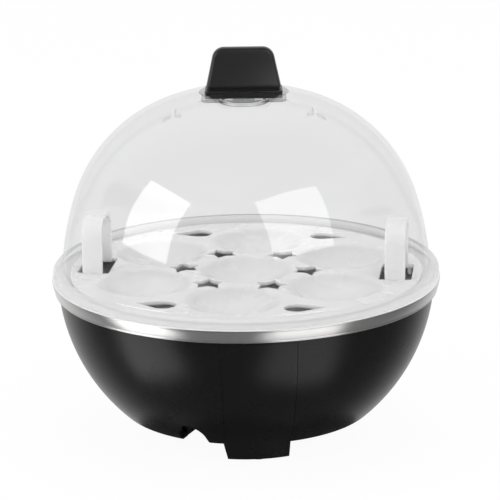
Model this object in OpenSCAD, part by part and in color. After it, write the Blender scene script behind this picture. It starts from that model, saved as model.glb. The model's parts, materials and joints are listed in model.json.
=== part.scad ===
// Ball-shaped egg cooker: a black bowl on three feet, a steel rim ring, a seven-egg tray
// and a clear dome lid.
// The origin is on the table, below the ball's centre. +Z is up, the switch faces +Y and one foot faces -Y.

/* [Ball and bowl] */
// Outer radius of the ball that the bowl is part of
ball_r = 83.5; // [81:0.5:88]
// Wall of the bowl
bowl_wall = 3; // [2.4:0.1:3.6]
// Height of the bowl's bottom edge above the table
bowl_bottom = 12; // [10:0.5:14]
// Radius of the bowl's open bottom, inside, as a share of the ball's radius
bottom_share = 0.6149; // [0.6:0.0001:0.63]
// How far the bowl's top edge lies below the ball's centre
rim_drop = 7.4; // [6:0.2:9]
// Thickness of the ledge inside the bowl's top edge
ledge_t = 3; // [2:0.2:4]
// Width of the part of the ledge that carries the water dish
ledge_w = 4.5; // [4:0.1:5.5]

/* [Rim ring] */
// How far the ring's top stands out past the bowl's top edge
ring_flare = 2.8; // [1.5:0.1:4]
// Height of the ring
ring_h = 5.9; // [5:0.1:6.5]
// Radius of the ring's curved side
ring_curve_r = 8; // [7.5:0.5:12]
// Thickness of the ring's sheet
ring_t = 1.2; // [0.8:0.1:1.4]
// Width of the ring's flat top
ring_shelf_w = 11.5; // [10:0.5:12.5]
// Radius of the rolled hem along the ring's lower edge
ring_hem_r = 0.7; // [0.6:0.05:0.9]
// Width of the lugs that hold the ring to the bowl's ledge
lug_w = 8; // [5:0.5:12]
// Inward length of the bent end of a lug
lug_bend = 4; // [3:0.5:6]

/* [Lid] */
// How far the ring shows outside the lid
lid_step = 0.6; // [0.3:0.1:1.5]
// Width of the flange round the dome's foot
lid_flange_w = 4; // [3:0.1:5]
// Height of the flange
lid_flange_h = 4.3; // [3.5:0.1:6]
// Thickness of the dome and of its flange
lid_wall = 2; // [1.6:0.1:2.4]
// Rise of the dome from the flange's top to the crown
dome_h = 79.6; // [76:0.2:86]
// Radius of the dome's lower side in section
side_r = 126; // [118:1:136]
// Radius of the dome's shoulder in section
shoulder_r = 66.6; // [62:0.2:70]
// Radius of the dome's crown in section
crown_r = 102; // [96:1:110]
// Inward lean of the dome's wall at its foot, in degrees
side_lean = 3.6; // [2.5:0.1:5]
// Radius of a steam hole
vent_r = 1.5; // [1:0.1:2.5]
// Distance of the steam holes from the lid's axis
vent_ring_r = 36.6; // [32:0.2:42]
// Angle of the steam holes in front of the handle's plane, in degrees
vent_angle = 33; // [20:1:60]
// Turn of the lid on the base, in degrees
lid_turn = -6.2; // [-180:0.1:180]

/* [Lid handle] */
// Height of the tab above the dome's crown
tab_h = 18.2; // [15:0.2:24]
// Width of the tab at its bottom
tab_w = 32.6; // [28:0.2:36]
// Width of the tab at its top, before the corners are rounded
tab_top_w = 25.4; // [20:0.2:27]
// Radius of the tab's top corners
tab_corner_r = 4.6; // [3:0.1:6]
// Thickness of the tab at its bottom
tab_t = 9; // [7:0.2:11]
// Thickness of the tab at its top
tab_top_t = 5.8; // [4:0.2:6.6]
// Height of the groove round the tab's bottom
groove_h = 0.6; // [0.4:0.1:1]
// Depth of the groove
groove_d = 0.5; // [0.3:0.1:0.8]
// Width of the handle's foot, which fills the pocket
handle_foot_w = 33.6; // [32:0.2:37]
// Thickness of the handle's foot
handle_foot_t = 14.4; // [12:0.2:16]
// Height of the handle's foot
handle_foot_h = 3.2; // [2.6:0.1:4]
// Depth of the pocket below the dome's crown
pocket_depth = 3.5; // [3:0.1:4.4]
// Thickness of the pocket's walls and floor
pocket_wall = 1.4; // [1:0.1:1.8]
// Distance of the snap hooks from the lid's axis
hook_x = 6; // [5:0.1:7]
// Thickness of a snap hook's stem
hook_t = 2.2; // [1.6:0.1:2.6]
// Width of a snap hook
hook_w = 7; // [5:0.2:8]
// Outward reach of a snap hook's barb
hook_barb = 1; // [0.6:0.1:1.4]
// Height of a snap hook's barb
hook_barb_h = 1.5; // [1:0.1:2]
// Outer radius of the collar round the snap hooks
collar_r = 11; // [10.5:0.1:12.5]
// Height of the collar
collar_h = 1.4; // [1:0.1:3]

/* [Egg tray] */
// How far the tray's edge lies on the ring's flat top
tray_lap = 3.5; // [2.5:0.1:4.3]
// Thickness of the tray
tray_t = 1.8; // [1.4:0.1:2.2]
// Distance of the outer egg cups from the ring's opening
cup_edge = 6.17; // [5:0.01:9]
// Radius of a cup's mouth, as a share of the reach of the outer cups' mouths
cup_share = 0.2849; // [0.26:0.0001:0.29]
// Depth of a cup
cup_depth = 7; // [5:0.1:8]
// Wall of a cup
cup_wall = 1.6; // [1.2:0.1:2]
// Outer radius of a star hole, as a share of the room between three cups
star_share = 0.855; // [0.6:0.005:0.93]
// Inner radius of a star hole, as a share of its outer radius
star_in_share = 0.534; // [0.35:0.002:0.6]
// Distance of a drop hole's round end from the ring's opening
drop_edge = 10.74; // [9:0.01:13]
// Angle of a drop hole from the plane between the grips, in degrees
drop_turn = 26.56; // [24:0.01:29]
// Radius of a drop hole's round end
drop_r = 5.6; // [4:0.1:6]
// Length from the middle of a drop hole's round end to its tip
drop_l = 12.5; // [9:0.1:13.5]
// Lean of a drop hole towards the grips, in degrees
drop_lean = 10; // [0:1:15]
// Distance of a grip's hole from the ring's opening
grip_edge = 0.47; // [0.4:0.01:0.8]
// Radial width of a grip's hole
grip_hole_w = 14.2; // [13:0.1:14.4]
// Length of a grip's hole
grip_hole_l = 25; // [22:0.5:26]
// Radial width of a grip's strip
grip_w = 9; // [7:0.2:10]
// Thickness of a grip's strip
grip_t = 2.2; // [1.6:0.1:2.8]
// Height of a grip above the tray
grip_h = 24; // [20:0.5:30]
// Radius of a grip's top corners
grip_corner_r = 9; // [4:0.5:11]
// Depth of the rib that centres the tray in the ring
tray_rib_h = 3; // [2:0.2:3.4]
// Thickness of that rib
tray_rib_t = 1.6; // [1.2:0.1:2]
// Turn of the tray on the base, in degrees
tray_turn = -13.3; // [-180:0.1:180]

/* [Feet] */
// Width of a foot's strap at the bowl's top edge
leg_top_w = 32.7; // [28:0.1:36]
// Width of a foot's strap at the bowl's bottom edge
leg_mid_w = 28.7; // [24:0.1:32]
// Width of a foot at the table
leg_foot_w = 26.8; // [22:0.1:30]
// Thickness of a foot's strap on the ball
leg_t = 2; // [1.4:0.1:2.6]
// How far a foot's outer edge stands out past the ball's line, at the table
foot_flare = 4.2; // [2:0.1:7]
// Radial depth of a foot at the table
foot_depth = 11; // [10.6:0.2:14]
// Radius of a rubber foot pad
pad_r = 4.8; // [4.4:0.1:5]
// Thickness of a foot pad
pad_t = 2; // [1.5:0.1:2.5]
// How far a foot pad stands out below the foot
pad_out = 0.6; // [0.4:0.1:1]

/* [Water dish and heater] */
// Distance of the dish's wall from the bowl's ledge
dish_gap = 5.97; // [5:0.01:9]
// Depth of the dish
dish_depth = 12.4; // [10:0.2:13]
// Thickness of the dish's sheet
dish_t = 1; // [0.8:0.1:1.2]
// Radius of the dish's bottom corner
dish_corner_r = 6; // [4:0.5:9]
// Thickness of the dish's seal
seal_t = 0.8; // [0.6:0.1:1.2]
// Radius of the heat spreader, as a share of the dish's radius
spreader_share = 0.7188; // [0.66:0.0001:0.75]
// Thickness of the heat spreader
spreader_t = 4.8; // [4.4:0.1:5.4]
// Radius of the heating element's loop, as a share of the spreader's radius
element_share = 0.6957; // [0.65:0.0001:0.76]
// Radius of the heating element's tube
element_tube_r = 3.3; // [3:0.1:3.6]
// How far the middle of the tube lies below the spreader
element_drop = 0.7; // [0.2:0.1:1]
// Half the angle of the loop's open part, in degrees
element_gap = 35; // [28:1:42]
// Bend radius of the element's ends
element_bend = 6; // [5:0.2:7]
// Length of the element's straight ends
element_end = 5; // [3:0.2:7]
// Length of a connection pin
pin_l = 8; // [6:0.2:9]
// Radius of a connection pin
pin_r = 1.25; // [1:0.05:1.5]

/* [Clamp and controls] */
// Width of the clamp bar
clamp_w = 9; // [8:0.2:11]
// Thickness of the clamp bar
clamp_t = 1.5; // [1.2:0.1:2.5]
// Distance of the clamp screws from the ring's opening
pillar_in = 5.47; // [5:0.01:5.9]
// Radius of the pillars that the clamp bar is screwed to
pillar_r = 3.8; // [3.4:0.1:4]
// Distance of the spreader's studs from the axis, as a share of the element's radius
stud_share = 0.6875; // [0.66:0.0005:0.74]
// Radius of a stud
stud_r = 2; // [1.8:0.1:2.2]
// Height of a clamp nut
nut_h = 3.2; // [2.4:0.1:4]
// Thickness of the earth tag and of the washer
tag_t = 0.8; // [0.6:0.1:1.2]
// Length of the earth tag's tongue from the stud's axis
tag_l = 12; // [9:0.5:14]
// Radius of the thermostat's cap
thermostat_r = 8; // [7:0.1:9]
// Height of the thermostat's cap
cap_h = 2.2; // [1.8:0.1:3]
// Height of the thermostat's body
thermostat_h = 7; // [6:0.2:8]
// Distance of the thermostat's screws from its axis
ear_y = 12; // [11.6:0.1:13]
// Width of the thermostat's bracket
ear_w = 8; // [7:0.2:9]
// Thickness of the thermostat's bracket
ear_t = 0.8; // [0.6:0.1:1.2]
// Length of a connection blade
blade_l = 7; // [5:0.2:8]
// Thickness of a connection blade
blade_t = 0.8; // [0.6:0.1:1]
// Width of a connection blade
blade_w = 4.8; // [4:0.1:6.3]
// Distance of a thermostat blade from the axis
thermostat_blade_x = 4.5; // [3:0.1:5.5]
// Distance of the thermal fuse from the axis
fuse_y = 20.5; // [20:0.1:21.4]
// Radius of the thermal fuse
fuse_r = 2; // [1.6:0.1:2.2]
// Length of the thermal fuse
fuse_l = 11; // [9:0.5:13]
// Length of each wire end of the fuse
fuse_wire_l = 6.5; // [5:0.5:8]
// Width of the fuse's clip
fuse_clip_w = 5; // [4:0.5:7]
// Thickness of the fuse's clip
fuse_clip_t = 0.7; // [0.5:0.1:1]

/* [Base plate and cord inlet] */
// Thickness of the base plate
plate_t = 2.4; // [2:0.1:3]
// Distance of the base plate's own screws from its edge
plate_screw_in = 7.14; // [6.2:0.01:9]
// Height of the screw bosses above the base plate
boss_h = 11; // [9:0.5:13]
// Radius of the screw bosses
boss_r = 4.2; // [3.8:0.1:4.6]
// Direction of the cord's way out, in degrees
cord_turn = -120; // [-124:1:-118]
// Width of the notch for the cord in the bowl's edge
notch_w = 12.5; // [10:0.5:14]
// Height of the notch
notch_h = 10; // [8:0.5:12]
// Width of the gutter for the cord in the base plate
gutter_w = 13; // [12:0.5:15]
// Height of the gutter inside
gutter_h = 7; // [6:0.5:9]
// Distance of the cord inlet from the base plate's edge
inlet_in = 23.14; // [22:0.01:24.2]
// Radius of the hole through the cord gland
gland_bore_r = 3.2; // [2.5:0.1:3.6]
// Outer radius of the gland's neck
gland_r = 4.6; // [4.2:0.1:5]
// Radius of the gland's two collars
gland_collar_r = 5.8; // [5.4:0.1:6.2]
// Thickness of a gland's collar
gland_collar_t = 1.6; // [1.2:0.1:2]
// Distance of the terminal block's middle from the base plate's edge
block_edge = 21.14; // [20:0.01:23]
// Length of the terminal block
block_l = 26; // [24:0.5:28]
// Width of the terminal block
block_w = 14; // [12:0.5:15]
// Height of the terminal block
block_h = 11; // [10:0.5:13]
// Distance between the terminal block's poles
pole_pitch = 8; // [7.5:0.1:8.5]
// Radius of a lead's insulation
lead_r = 1.1; // [0.9:0.05:1.2]

/* [Switch] */
// Height of the switch's middle on the ball
switch_z = 40; // [37:0.5:42]
// Depth of the flat that carries the switch below the ball's surface
switch_sink = 2.4; // [2.2:0.1:3]
// Thickness of the panel behind the flat
panel_t = 2.6; // [2:0.1:3.2]
// Half the length of the rocker
rocker_r = 8.2; // [7:0.1:9]
// Width of the rocker
rocker_w = 10; // [8:0.2:12]
// Height of the rocker's middle above its pivot
rocker_mid = 2.2; // [2:0.1:2.8]
// Slope of each of the rocker's faces, in degrees
rocker_slope = 12; // [10:1:15]
// Tilt of the rocker each way, in degrees
rocker_tilt = 8; // [6:1:9]
// Radius of the rocker's pivot pin
pivot_r = 1.2; // [1:0.05:1.5]
// Depth of the pivot below the bezel's top
pivot_depth = 2.6; // [2.2:0.1:3]
// Wall of the switch's housing
housing_wall = 1.4; // [1.2:0.1:1.8]
// Depth of the switch's housing behind the flat
housing_d = 13; // [11:0.5:14]
// Width of the bezel's rim
bezel_w = 1.8; // [1.4:0.1:2.4]
// Thickness of the bezel
bezel_t = 1.6; // [1.2:0.1:2]

/* [Fits] */
// Gap under the tray and the lid where they rest on the ring
seat_gap = 0.2; // [0.1:0.05:0.4]
// Clearance between pieces of the base that are fitted into each other
fit = 0.2; // [0.1:0.05:0.4]
// Clearance of the tray's rib inside the ring
tray_fit = 0.6; // [0.4:0.1:1]
// Radial clearance of a pin or a screw in its hole
pin_fit = 0.06; // [0.02:0.01:0.1]

/* [Hidden] */
$fn = 64;
eps = 0.01;

// Heights of the stack, from the bowl's edge up and down
bowl_in_r = ball_r - bowl_wall;
ball_z = bowl_bottom + sqrt(pow(bowl_in_r, 2) - pow(bottom_share * ball_r, 2));
bowl_top = ball_z - rim_drop;
bowl_top_r = sqrt(pow(ball_r, 2) - pow(ball_z - bowl_top, 2));
ring_top = bowl_top + ring_h;
ring_r = bowl_top_r + ring_flare;
ring_in_r = ring_r - ring_shelf_w;
ring_curve_x = ring_r - ring_curve_r;
ring_foot_r = ring_curve_x + sqrt(pow(ring_curve_r, 2) - pow(ring_h, 2));
tray_z = ring_top + seat_gap;
tray_top = tray_z + tray_t;
tray_r = ring_in_r + tray_lap;
cup_reach = ring_in_r - cup_edge - cup_wall;
cup_r = cup_share * cup_reach;
cup_pitch = cup_reach - cup_r;
star_r = star_share * (cup_pitch / sqrt(3) - cup_r);
star_in_r = star_in_share * star_r;
drop_p = (ring_in_r - drop_edge) * [sin(drop_turn), cos(drop_turn)];
grip_hole_r = ring_in_r - grip_edge - grip_hole_w;
lid_z = ring_top + seat_gap;
lid_r = ring_r - lid_step;
dome_z = lid_z + lid_flange_h;
dome_top = dome_z + dome_h;

// Centres of the dome's three tangent arcs in section
dome_r = lid_r - lid_flange_w;
side_c = [dome_r - side_r * cos(side_lean), dome_z - side_r * sin(side_lean)];
crown_c = [0, dome_top - crown_r];
centre_gap = norm(crown_c - side_c);
centre_way = (crown_c - side_c) / centre_gap;
shoulder_along = (pow(side_r - shoulder_r, 2) - pow(crown_r - shoulder_r, 2) + pow(centre_gap, 2))
    / (2 * centre_gap);
shoulder_off = sqrt(pow(side_r - shoulder_r, 2) - pow(shoulder_along, 2));
shoulder_c = side_c + shoulder_along * centre_way + shoulder_off * [-centre_way[1], centre_way[0]];
side_end = atan2(shoulder_c[1] - side_c[1], shoulder_c[0] - side_c[0]);
crown_start = atan2(shoulder_c[1] - crown_c[1], shoulder_c[0] - crown_c[0]);

// Handle
pocket_z = dome_top - pocket_depth;
pocket_w = handle_foot_w + 2 * fit;
pocket_l = handle_foot_t + 2 * fit;
tab_z = pocket_z + handle_foot_h + 0.9;
handle_top = dome_top + tab_h;
neck_w = tab_w - 1.2;
neck_t = tab_t - 1;

// Dish and heater
seal_z = bowl_top;
dish_rim_z = seal_z + seal_t;
dish_top = dish_rim_z + dish_t;
dish_floor = dish_top - dish_depth;
dish_under = dish_floor - dish_t;
dish_flange_r = ring_in_r - fit;
ledge_in_r = ring_in_r - ledge_w;
dish_r = ledge_in_r - dish_gap;
spreader_r = spreader_share * dish_r;
element_r = element_share * spreader_r;
pillar_x = ring_in_r - pillar_in;
stud_x = stud_share * element_r;
spreader_z = dish_under - spreader_t;
element_z = spreader_z - element_drop;
clamp_top = element_z - element_tube_r - fit;
clamp_z = clamp_top - clamp_t;
nut_z = clamp_z - tag_t - nut_h;
element_end_z = element_z - element_bend - element_end;
pin_z = element_end_z - pin_l;
element_end_p = [
    element_r * sin(element_gap) - element_bend * cos(element_gap),
    -element_r * cos(element_gap) - element_bend * sin(element_gap)];
thermostat_z = spreader_z - cap_h - thermostat_h;
ear_z = spreader_z - cap_h - ear_t;
screw_r = 1.5;
small_head_r = 2.7;
fuse_z = spreader_z - fuse_clip_t - fuse_r - fit;

// Feet and base plate
leg_turns = [-90, 30, 150];
plate_turns = [-30, 90, 210];
foot_r = sqrt(pow(ball_r, 2) - pow(ball_z - pad_out, 2)) + foot_flare;
leg_screw_r = foot_r - foot_depth / 2;
plate_top = bowl_bottom + plate_t;
plate_r = bottom_share * ball_r - fit;
plate_screw_r = plate_r - plate_screw_in;
tangent_turn = atan2(pad_out - ball_z, foot_r) + acos(ball_r / norm([foot_r, ball_z - pad_out]));
tangent_p = [ball_r * cos(tangent_turn), ball_z + ball_r * sin(tangent_turn)];
head_r = 3.6;
head_h = 2.4;
leg_screw_z = pad_t + 2.2;
gutter_top = bowl_bottom + gutter_h;
inlet_r = plate_r - inlet_in;
gutter_in_r = inlet_r - gutter_w / 2;
gutter_wall = 2;
gland_z = gutter_top - gland_collar_t;
gland_top = gutter_top + gutter_wall + gland_collar_t;
block_p = [block_edge - plate_r, -2, plate_top];
pole_z = plate_top + block_h / 2;
pole_r = 2.2;

// Switch: x across, y up along the ball, z outwards from the ball's centre
switch_turn = asin((ball_z - switch_z) / ball_r);
flat_d = ball_r - switch_sink;
bezel_top = flat_d + bezel_t;
pivot_d = bezel_top - pivot_depth;
cavity_l = rocker_r + 0.3;
cavity_w = rocker_w / 2 + 0.3;
housing_l = cavity_l + housing_wall;
housing_w = cavity_w + housing_wall;
rocker_skirt = 2.5;
switch_blade_y = -3;
switch_blade_x = 4;
switch_tip_d = flat_d - housing_d - blade_l;

function on_switch(x, y, z) = [-x, z * cos(switch_turn) + y * sin(switch_turn),
    ball_z - z * sin(switch_turn) + y * cos(switch_turn)];

// ---- Plain shapes ----

module rounded(w, l, r) {
    square([w - 2 * r, l], center = true);
    square([w, l - 2 * r], center = true);
    for (x = [-1, 1], y = [-1, 1]) translate([x * (w / 2 - r), y * (l / 2 - r)]) circle(r = r);
}

module rounded_block(w, l, h, r) linear_extrude(h) rounded(w, l, r);

module tube(r_out, r_in, h) difference() {
    cylinder(r = r_out, h = h);
    translate([0, 0, -1]) cylinder(r = r_in, h = h + 2);
}

module turned(angle, r) rotate([0, 0, angle]) translate([r, 0, 0]) children();

module box_between(low, high) translate(low) cube(high - low);

module on_flat() translate([0, 0, ball_z]) rotate([0, 0, 180]) rotate([90 + switch_turn, 0, 0]) children();

// A pan-head screw that points up, its head's underside at z = 0
module screw(shank_r, shank_l, r, h) {
    translate([0, 0, -h]) cylinder(r = r, h = h);
    translate([0, 0, -eps]) cylinder(r = shank_r, h = shank_l + eps);
}

// ---- Lid ----

// Half section of the dome's outer shape, with its surface moved in by inset
module dome_half(inset) intersection() {
    union() {
        difference() {
            intersection() {
                translate(side_c) circle(r = side_r - inset);
                translate(crown_c) circle(r = crown_r - inset);
            }
            translate(shoulder_c) polygon([[0, 0], 2 * shoulder_r * [cos(side_end), sin(side_end)],
                2 * shoulder_r * [cos(crown_start), sin(crown_start)]]);
        }
        translate(shoulder_c) circle(r = shoulder_r - inset);
    }
    translate([0, dome_z - eps]) square([dome_r + 5, dome_h + 5]);
}

module lid_section() {
    skirt_in_r = lid_r - lid_wall;
    rim_in_r = dome_r - lid_wall;
    corner = 0.6 * lid_wall;
    difference() {
        dome_half(0);
        dome_half(lid_wall);
    }
    // foot flange with its outer skirt
    translate([rim_in_r, dome_z - lid_wall]) square([lid_r - corner - rim_in_r, lid_wall]);
    translate([skirt_in_r, lid_z]) square([lid_wall, lid_flange_h - corner]);
    translate([lid_r - corner, dome_z - corner]) circle(r = corner);
    // inner skirt round the tray's edge
    translate([rim_in_r, lid_z + 0.6]) square([lid_wall, lid_flange_h - 0.6]);
}

module lid_dome() color([0.92, 0.94, 0.95, 0.35]) rotate([0, 0, lid_turn]) difference() {
    union() {
        difference() {
            rotate_extrude() lid_section();
            translate([0, 0, pocket_z - 5]) linear_extrude(pocket_depth + 10) rounded(pocket_w, pocket_l, 2);
        }
        intersection() {
            translate([0, 0, pocket_z - pocket_wall]) difference() {
                rounded_block(pocket_w + 2 * pocket_wall, pocket_l + 2 * pocket_wall, pocket_depth + 9, 3);
                translate([0, 0, pocket_wall]) rounded_block(pocket_w, pocket_l, pocket_depth + 9, 2);
            }
            rotate_extrude() dome_half(0);
        }
        translate([0, 0, pocket_z - pocket_wall - collar_h]) tube(collar_r, collar_r - 1.4, collar_h + eps);
    }
    for (side = [-1, 1]) {
        hook_slot = hook_t + 2 * fit + hook_barb;
        translate([side * (hook_x + hook_barb / 2) - hook_slot / 2, -hook_w / 2 - fit,
            pocket_z - pocket_wall - 1])
            cube([hook_slot, hook_w + 2 * fit, pocket_wall + 2]);
        rotate([0, 0, -90 + side * (90 - vent_angle)]) translate([vent_ring_r, 0, dome_top - 30])
            cylinder(r = vent_r, h = 30);
    }
}

module lid_handle() color([0.16, 0.16, 0.17]) rotate([0, 0, lid_turn]) {
    corner_x = tab_top_w / 2 - tab_corner_r;
    // foot in the pocket, and the neck above it
    translate([0, 0, pocket_z]) rounded_block(handle_foot_w, handle_foot_t, handle_foot_h, 1.8);
    translate([-neck_w / 2, -neck_t / 2, pocket_z + 1]) cube([neck_w, neck_t, tab_z - pocket_z]);
    // tab: the front outline and the side outline meet
    difference() {
        intersection() {
            translate([0, tab_t, 0]) rotate([90, 0, 0]) linear_extrude(2 * tab_t) hull() {
                translate([-tab_w / 2, tab_z]) square([tab_w, 1.5]);
                for (side = [-1, 1]) translate([side * corner_x, handle_top - tab_corner_r])
                    circle(r = tab_corner_r, $fn = 32);
            }
            translate([-tab_w, 0, 0]) rotate([90, 0, 90]) linear_extrude(2 * tab_w) hull() {
                translate([-tab_t / 2, tab_z]) square([tab_t, 1.5]);
                translate([0, handle_top - tab_top_t / 2]) circle(r = tab_top_t / 2, $fn = 32);
            }
        }
        translate([0, 0, tab_z + 1.1]) difference() {
            translate([-tab_w, -tab_t, 0]) cube([2 * tab_w, 2 * tab_t, groove_h]);
            translate([-tab_w / 2 + groove_d, -tab_t / 2 + groove_d, -1])
                cube([tab_w - 2 * groove_d, tab_t - 2 * groove_d, groove_h + 2]);
        }
    }
    // snap hooks through the pocket's floor
    for (side = [0, 180]) rotate([0, 0, side]) {
        translate([hook_x - hook_t / 2, -hook_w / 2, pocket_z - pocket_wall - hook_barb_h - fit])
            cube([hook_t, hook_w, pocket_wall + hook_barb_h + fit + 1]);
        translate([hook_x - hook_t / 2, -hook_w / 2, pocket_z - pocket_wall - hook_barb_h - fit])
            cube([hook_t + hook_barb, hook_w, hook_barb_h]);
    }
}

// ---- Tray ----

module star() polygon([for (i = [0:9]) (i % 2 == 0 ? star_r : star_in_r) * [cos(36 * i), sin(36 * i)]]);

// A drop with its tip along +x
module drop() {
    touch = acos(drop_r / drop_l);
    circle(r = drop_r);
    side = 0.97 * drop_r * [cos(touch), sin(touch)];
    polygon([[0, 0], [side[0], -side[1]], [drop_l, 0], side]);
}

module cup_solid(r, depth, over = 0) {
    curve_r = (r * r + depth * depth) / (2 * depth);
    intersection() {
        translate([0, 0, tray_top - depth + curve_r]) sphere(r = curve_r);
        translate([0, 0, tray_top - depth - 1]) cylinder(r = r + 3, h = depth + 1 + over);
    }
}

module at_cups() {
    children();
    for (i = [0:5]) turned(30 + 60 * i, cup_pitch) children();
}

module grip() translate([grip_hole_r + (grip_hole_w - grip_w) / 2, 0, tray_z]) rotate([90, 0, 90])
    linear_extrude(grip_w) difference() {
        grip_outline(grip_hole_l / 2 + 0.6, tray_t + grip_h, grip_corner_r);
        translate([0, -eps]) grip_outline(grip_hole_l / 2 + 0.6 - grip_t, tray_t + grip_h - grip_t + eps,
            grip_corner_r - grip_t);
    }

module grip_outline(half, h, r) {
    translate([-half, 0]) square([2 * half, h - r]);
    translate([-half + r, 0]) square([2 * (half - r), h]);
    for (side = [-1, 1]) translate([side * (half - r), h - r]) circle(r = r);
}

module egg_tray() color([0.95, 0.95, 0.94]) rotate([0, 0, tray_turn]) {
    difference() {
        union() {
            translate([0, 0, tray_z]) cylinder(r = tray_r, h = tray_t);
            translate([0, 0, tray_z - tray_rib_h])
                tube(ring_in_r - tray_fit, ring_in_r - tray_fit - tray_rib_t, tray_rib_h + eps);
        }
        at_cups() cup_solid(cup_r + cup_wall, cup_depth + cup_wall, 1);
        translate([0, 0, tray_z - 1]) linear_extrude(tray_t + 2) {
            for (i = [0:5]) rotate(60 * i) translate([cup_pitch / sqrt(3), 0]) star();
            for (x = [-1, 1], y = [-1, 1]) scale([x, y]) translate(drop_p) rotate(-drop_lean) drop();
        }
        for (turn = [0, 180]) rotate([0, 0, turn])
            translate([grip_hole_r, -grip_hole_l / 2, tray_z - tray_rib_h - 1])
                cube([grip_hole_w, grip_hole_l, tray_rib_h + tray_t + 2]);
    }
    for (turn = [0, 180]) rotate([0, 0, turn]) grip();
}

// The cups fill the tray's round holes flush; moulded in one with it
module egg_cups() color([0.95, 0.95, 0.94]) rotate([0, 0, tray_turn]) at_cups() difference() {
    cup_solid(cup_r + cup_wall, cup_depth + cup_wall);
    cup_solid(cup_r, cup_depth, 1);
}

// ---- Rim ring ----

module rim_ring() color([0.72, 0.72, 0.73]) {
    rotate_extrude() {
        intersection() {
            translate([ring_curve_x, ring_top]) difference() {
                circle(r = ring_curve_r);
                circle(r = ring_curve_r - ring_t);
            }
            translate([ring_curve_x, bowl_top]) square([ring_curve_r + 1, ring_h]);
        }
        translate([ring_in_r, ring_top - ring_t]) square([ring_shelf_w - ring_t / 2, ring_t]);
        translate([ring_in_r, bowl_top]) square([ring_t, ring_h]);
        translate([ring_foot_r - 0.8 * ring_hem_r, bowl_top + ring_hem_r]) circle(r = ring_hem_r);
    }
    lug_low = bowl_top - ledge_t - fit - ring_t;
    for (turn = plate_turns) rotate([0, 0, turn]) {
        translate([ring_in_r, -lug_w / 2, lug_low]) cube([ring_t, lug_w, ledge_t + fit + ring_t + eps]);
        translate([ring_in_r - lug_bend, -lug_w / 2, lug_low]) cube([lug_bend + eps, lug_w, ring_t]);
    }
}

// ---- Bowl ----

module ball_shell(outer, inner) rotate_extrude() intersection() {
    translate([0, ball_z]) difference() {
        circle(r = outer);
        circle(r = inner);
    }
    translate([0, bowl_bottom]) square([ball_r + 1, bowl_top - bowl_bottom]);
}

// Wedge along +x that cuts a strap out of the ball, wider by grow on each side
module leg_wedge(grow) rotate([90, 0, 90]) linear_extrude(ball_r + 2) polygon([
    [-leg_foot_w / 2 - grow, -1], [leg_foot_w / 2 + grow, -1],
    [leg_foot_w / 2 + grow, 0], [leg_mid_w / 2 + grow, bowl_bottom],
    [leg_top_w / 2 + grow, bowl_top], [leg_top_w / 2 + grow, bowl_top + 1],
    [-leg_top_w / 2 - grow, bowl_top + 1], [-leg_top_w / 2 - grow, bowl_top],
    [-leg_mid_w / 2 - grow, bowl_bottom], [-leg_foot_w / 2 - grow, 0]]);

// The part of a shell that lies in a strap's wedge along +x
module strap_space(outer, inner, grow) intersection() {
    rotate([0, 0, 180]) ball_shell(outer, inner);
    leg_wedge(grow);
}

// Screw boss on the bowl's wall
module boss(turn, r) rotate([0, 0, turn]) intersection() {
    union() {
        translate([r, 0, plate_top]) cylinder(r = boss_r, h = boss_h);
        translate([r, -1.5, plate_top]) cube([ball_r - r, 3, boss_h]);
    }
    translate([0, 0, ball_z]) sphere(r = ball_r - bowl_wall / 2);
}

module pilot(turn, r) turned(turn, r) translate([0, 0, plate_top - 1])
    cylinder(r = screw_r + pin_fit, h = boss_h);

module pillar(turn) rotate([0, 0, turn]) intersection() {
    union() {
        translate([pillar_x, 0, clamp_top]) cylinder(r = pillar_r, h = bowl_top - ledge_t - clamp_top + eps);
        translate([pillar_x, -1.5, clamp_top])
            cube([ball_r - pillar_x, 3, bowl_top - ledge_t - clamp_top + eps]);
    }
    translate([0, 0, ball_z]) sphere(r = ball_r - bowl_wall / 2);
}

module cord_notch() rotate([90, 0, 90 + cord_turn]) {
    low = bowl_bottom - 1;
    linear_extrude(ball_r) {
        translate([-notch_w / 2, low]) square([notch_w, notch_h + 1 - notch_w / 2]);
        translate([0, bowl_bottom + notch_h - notch_w / 2]) circle(r = notch_w / 2);
    }
}

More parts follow.
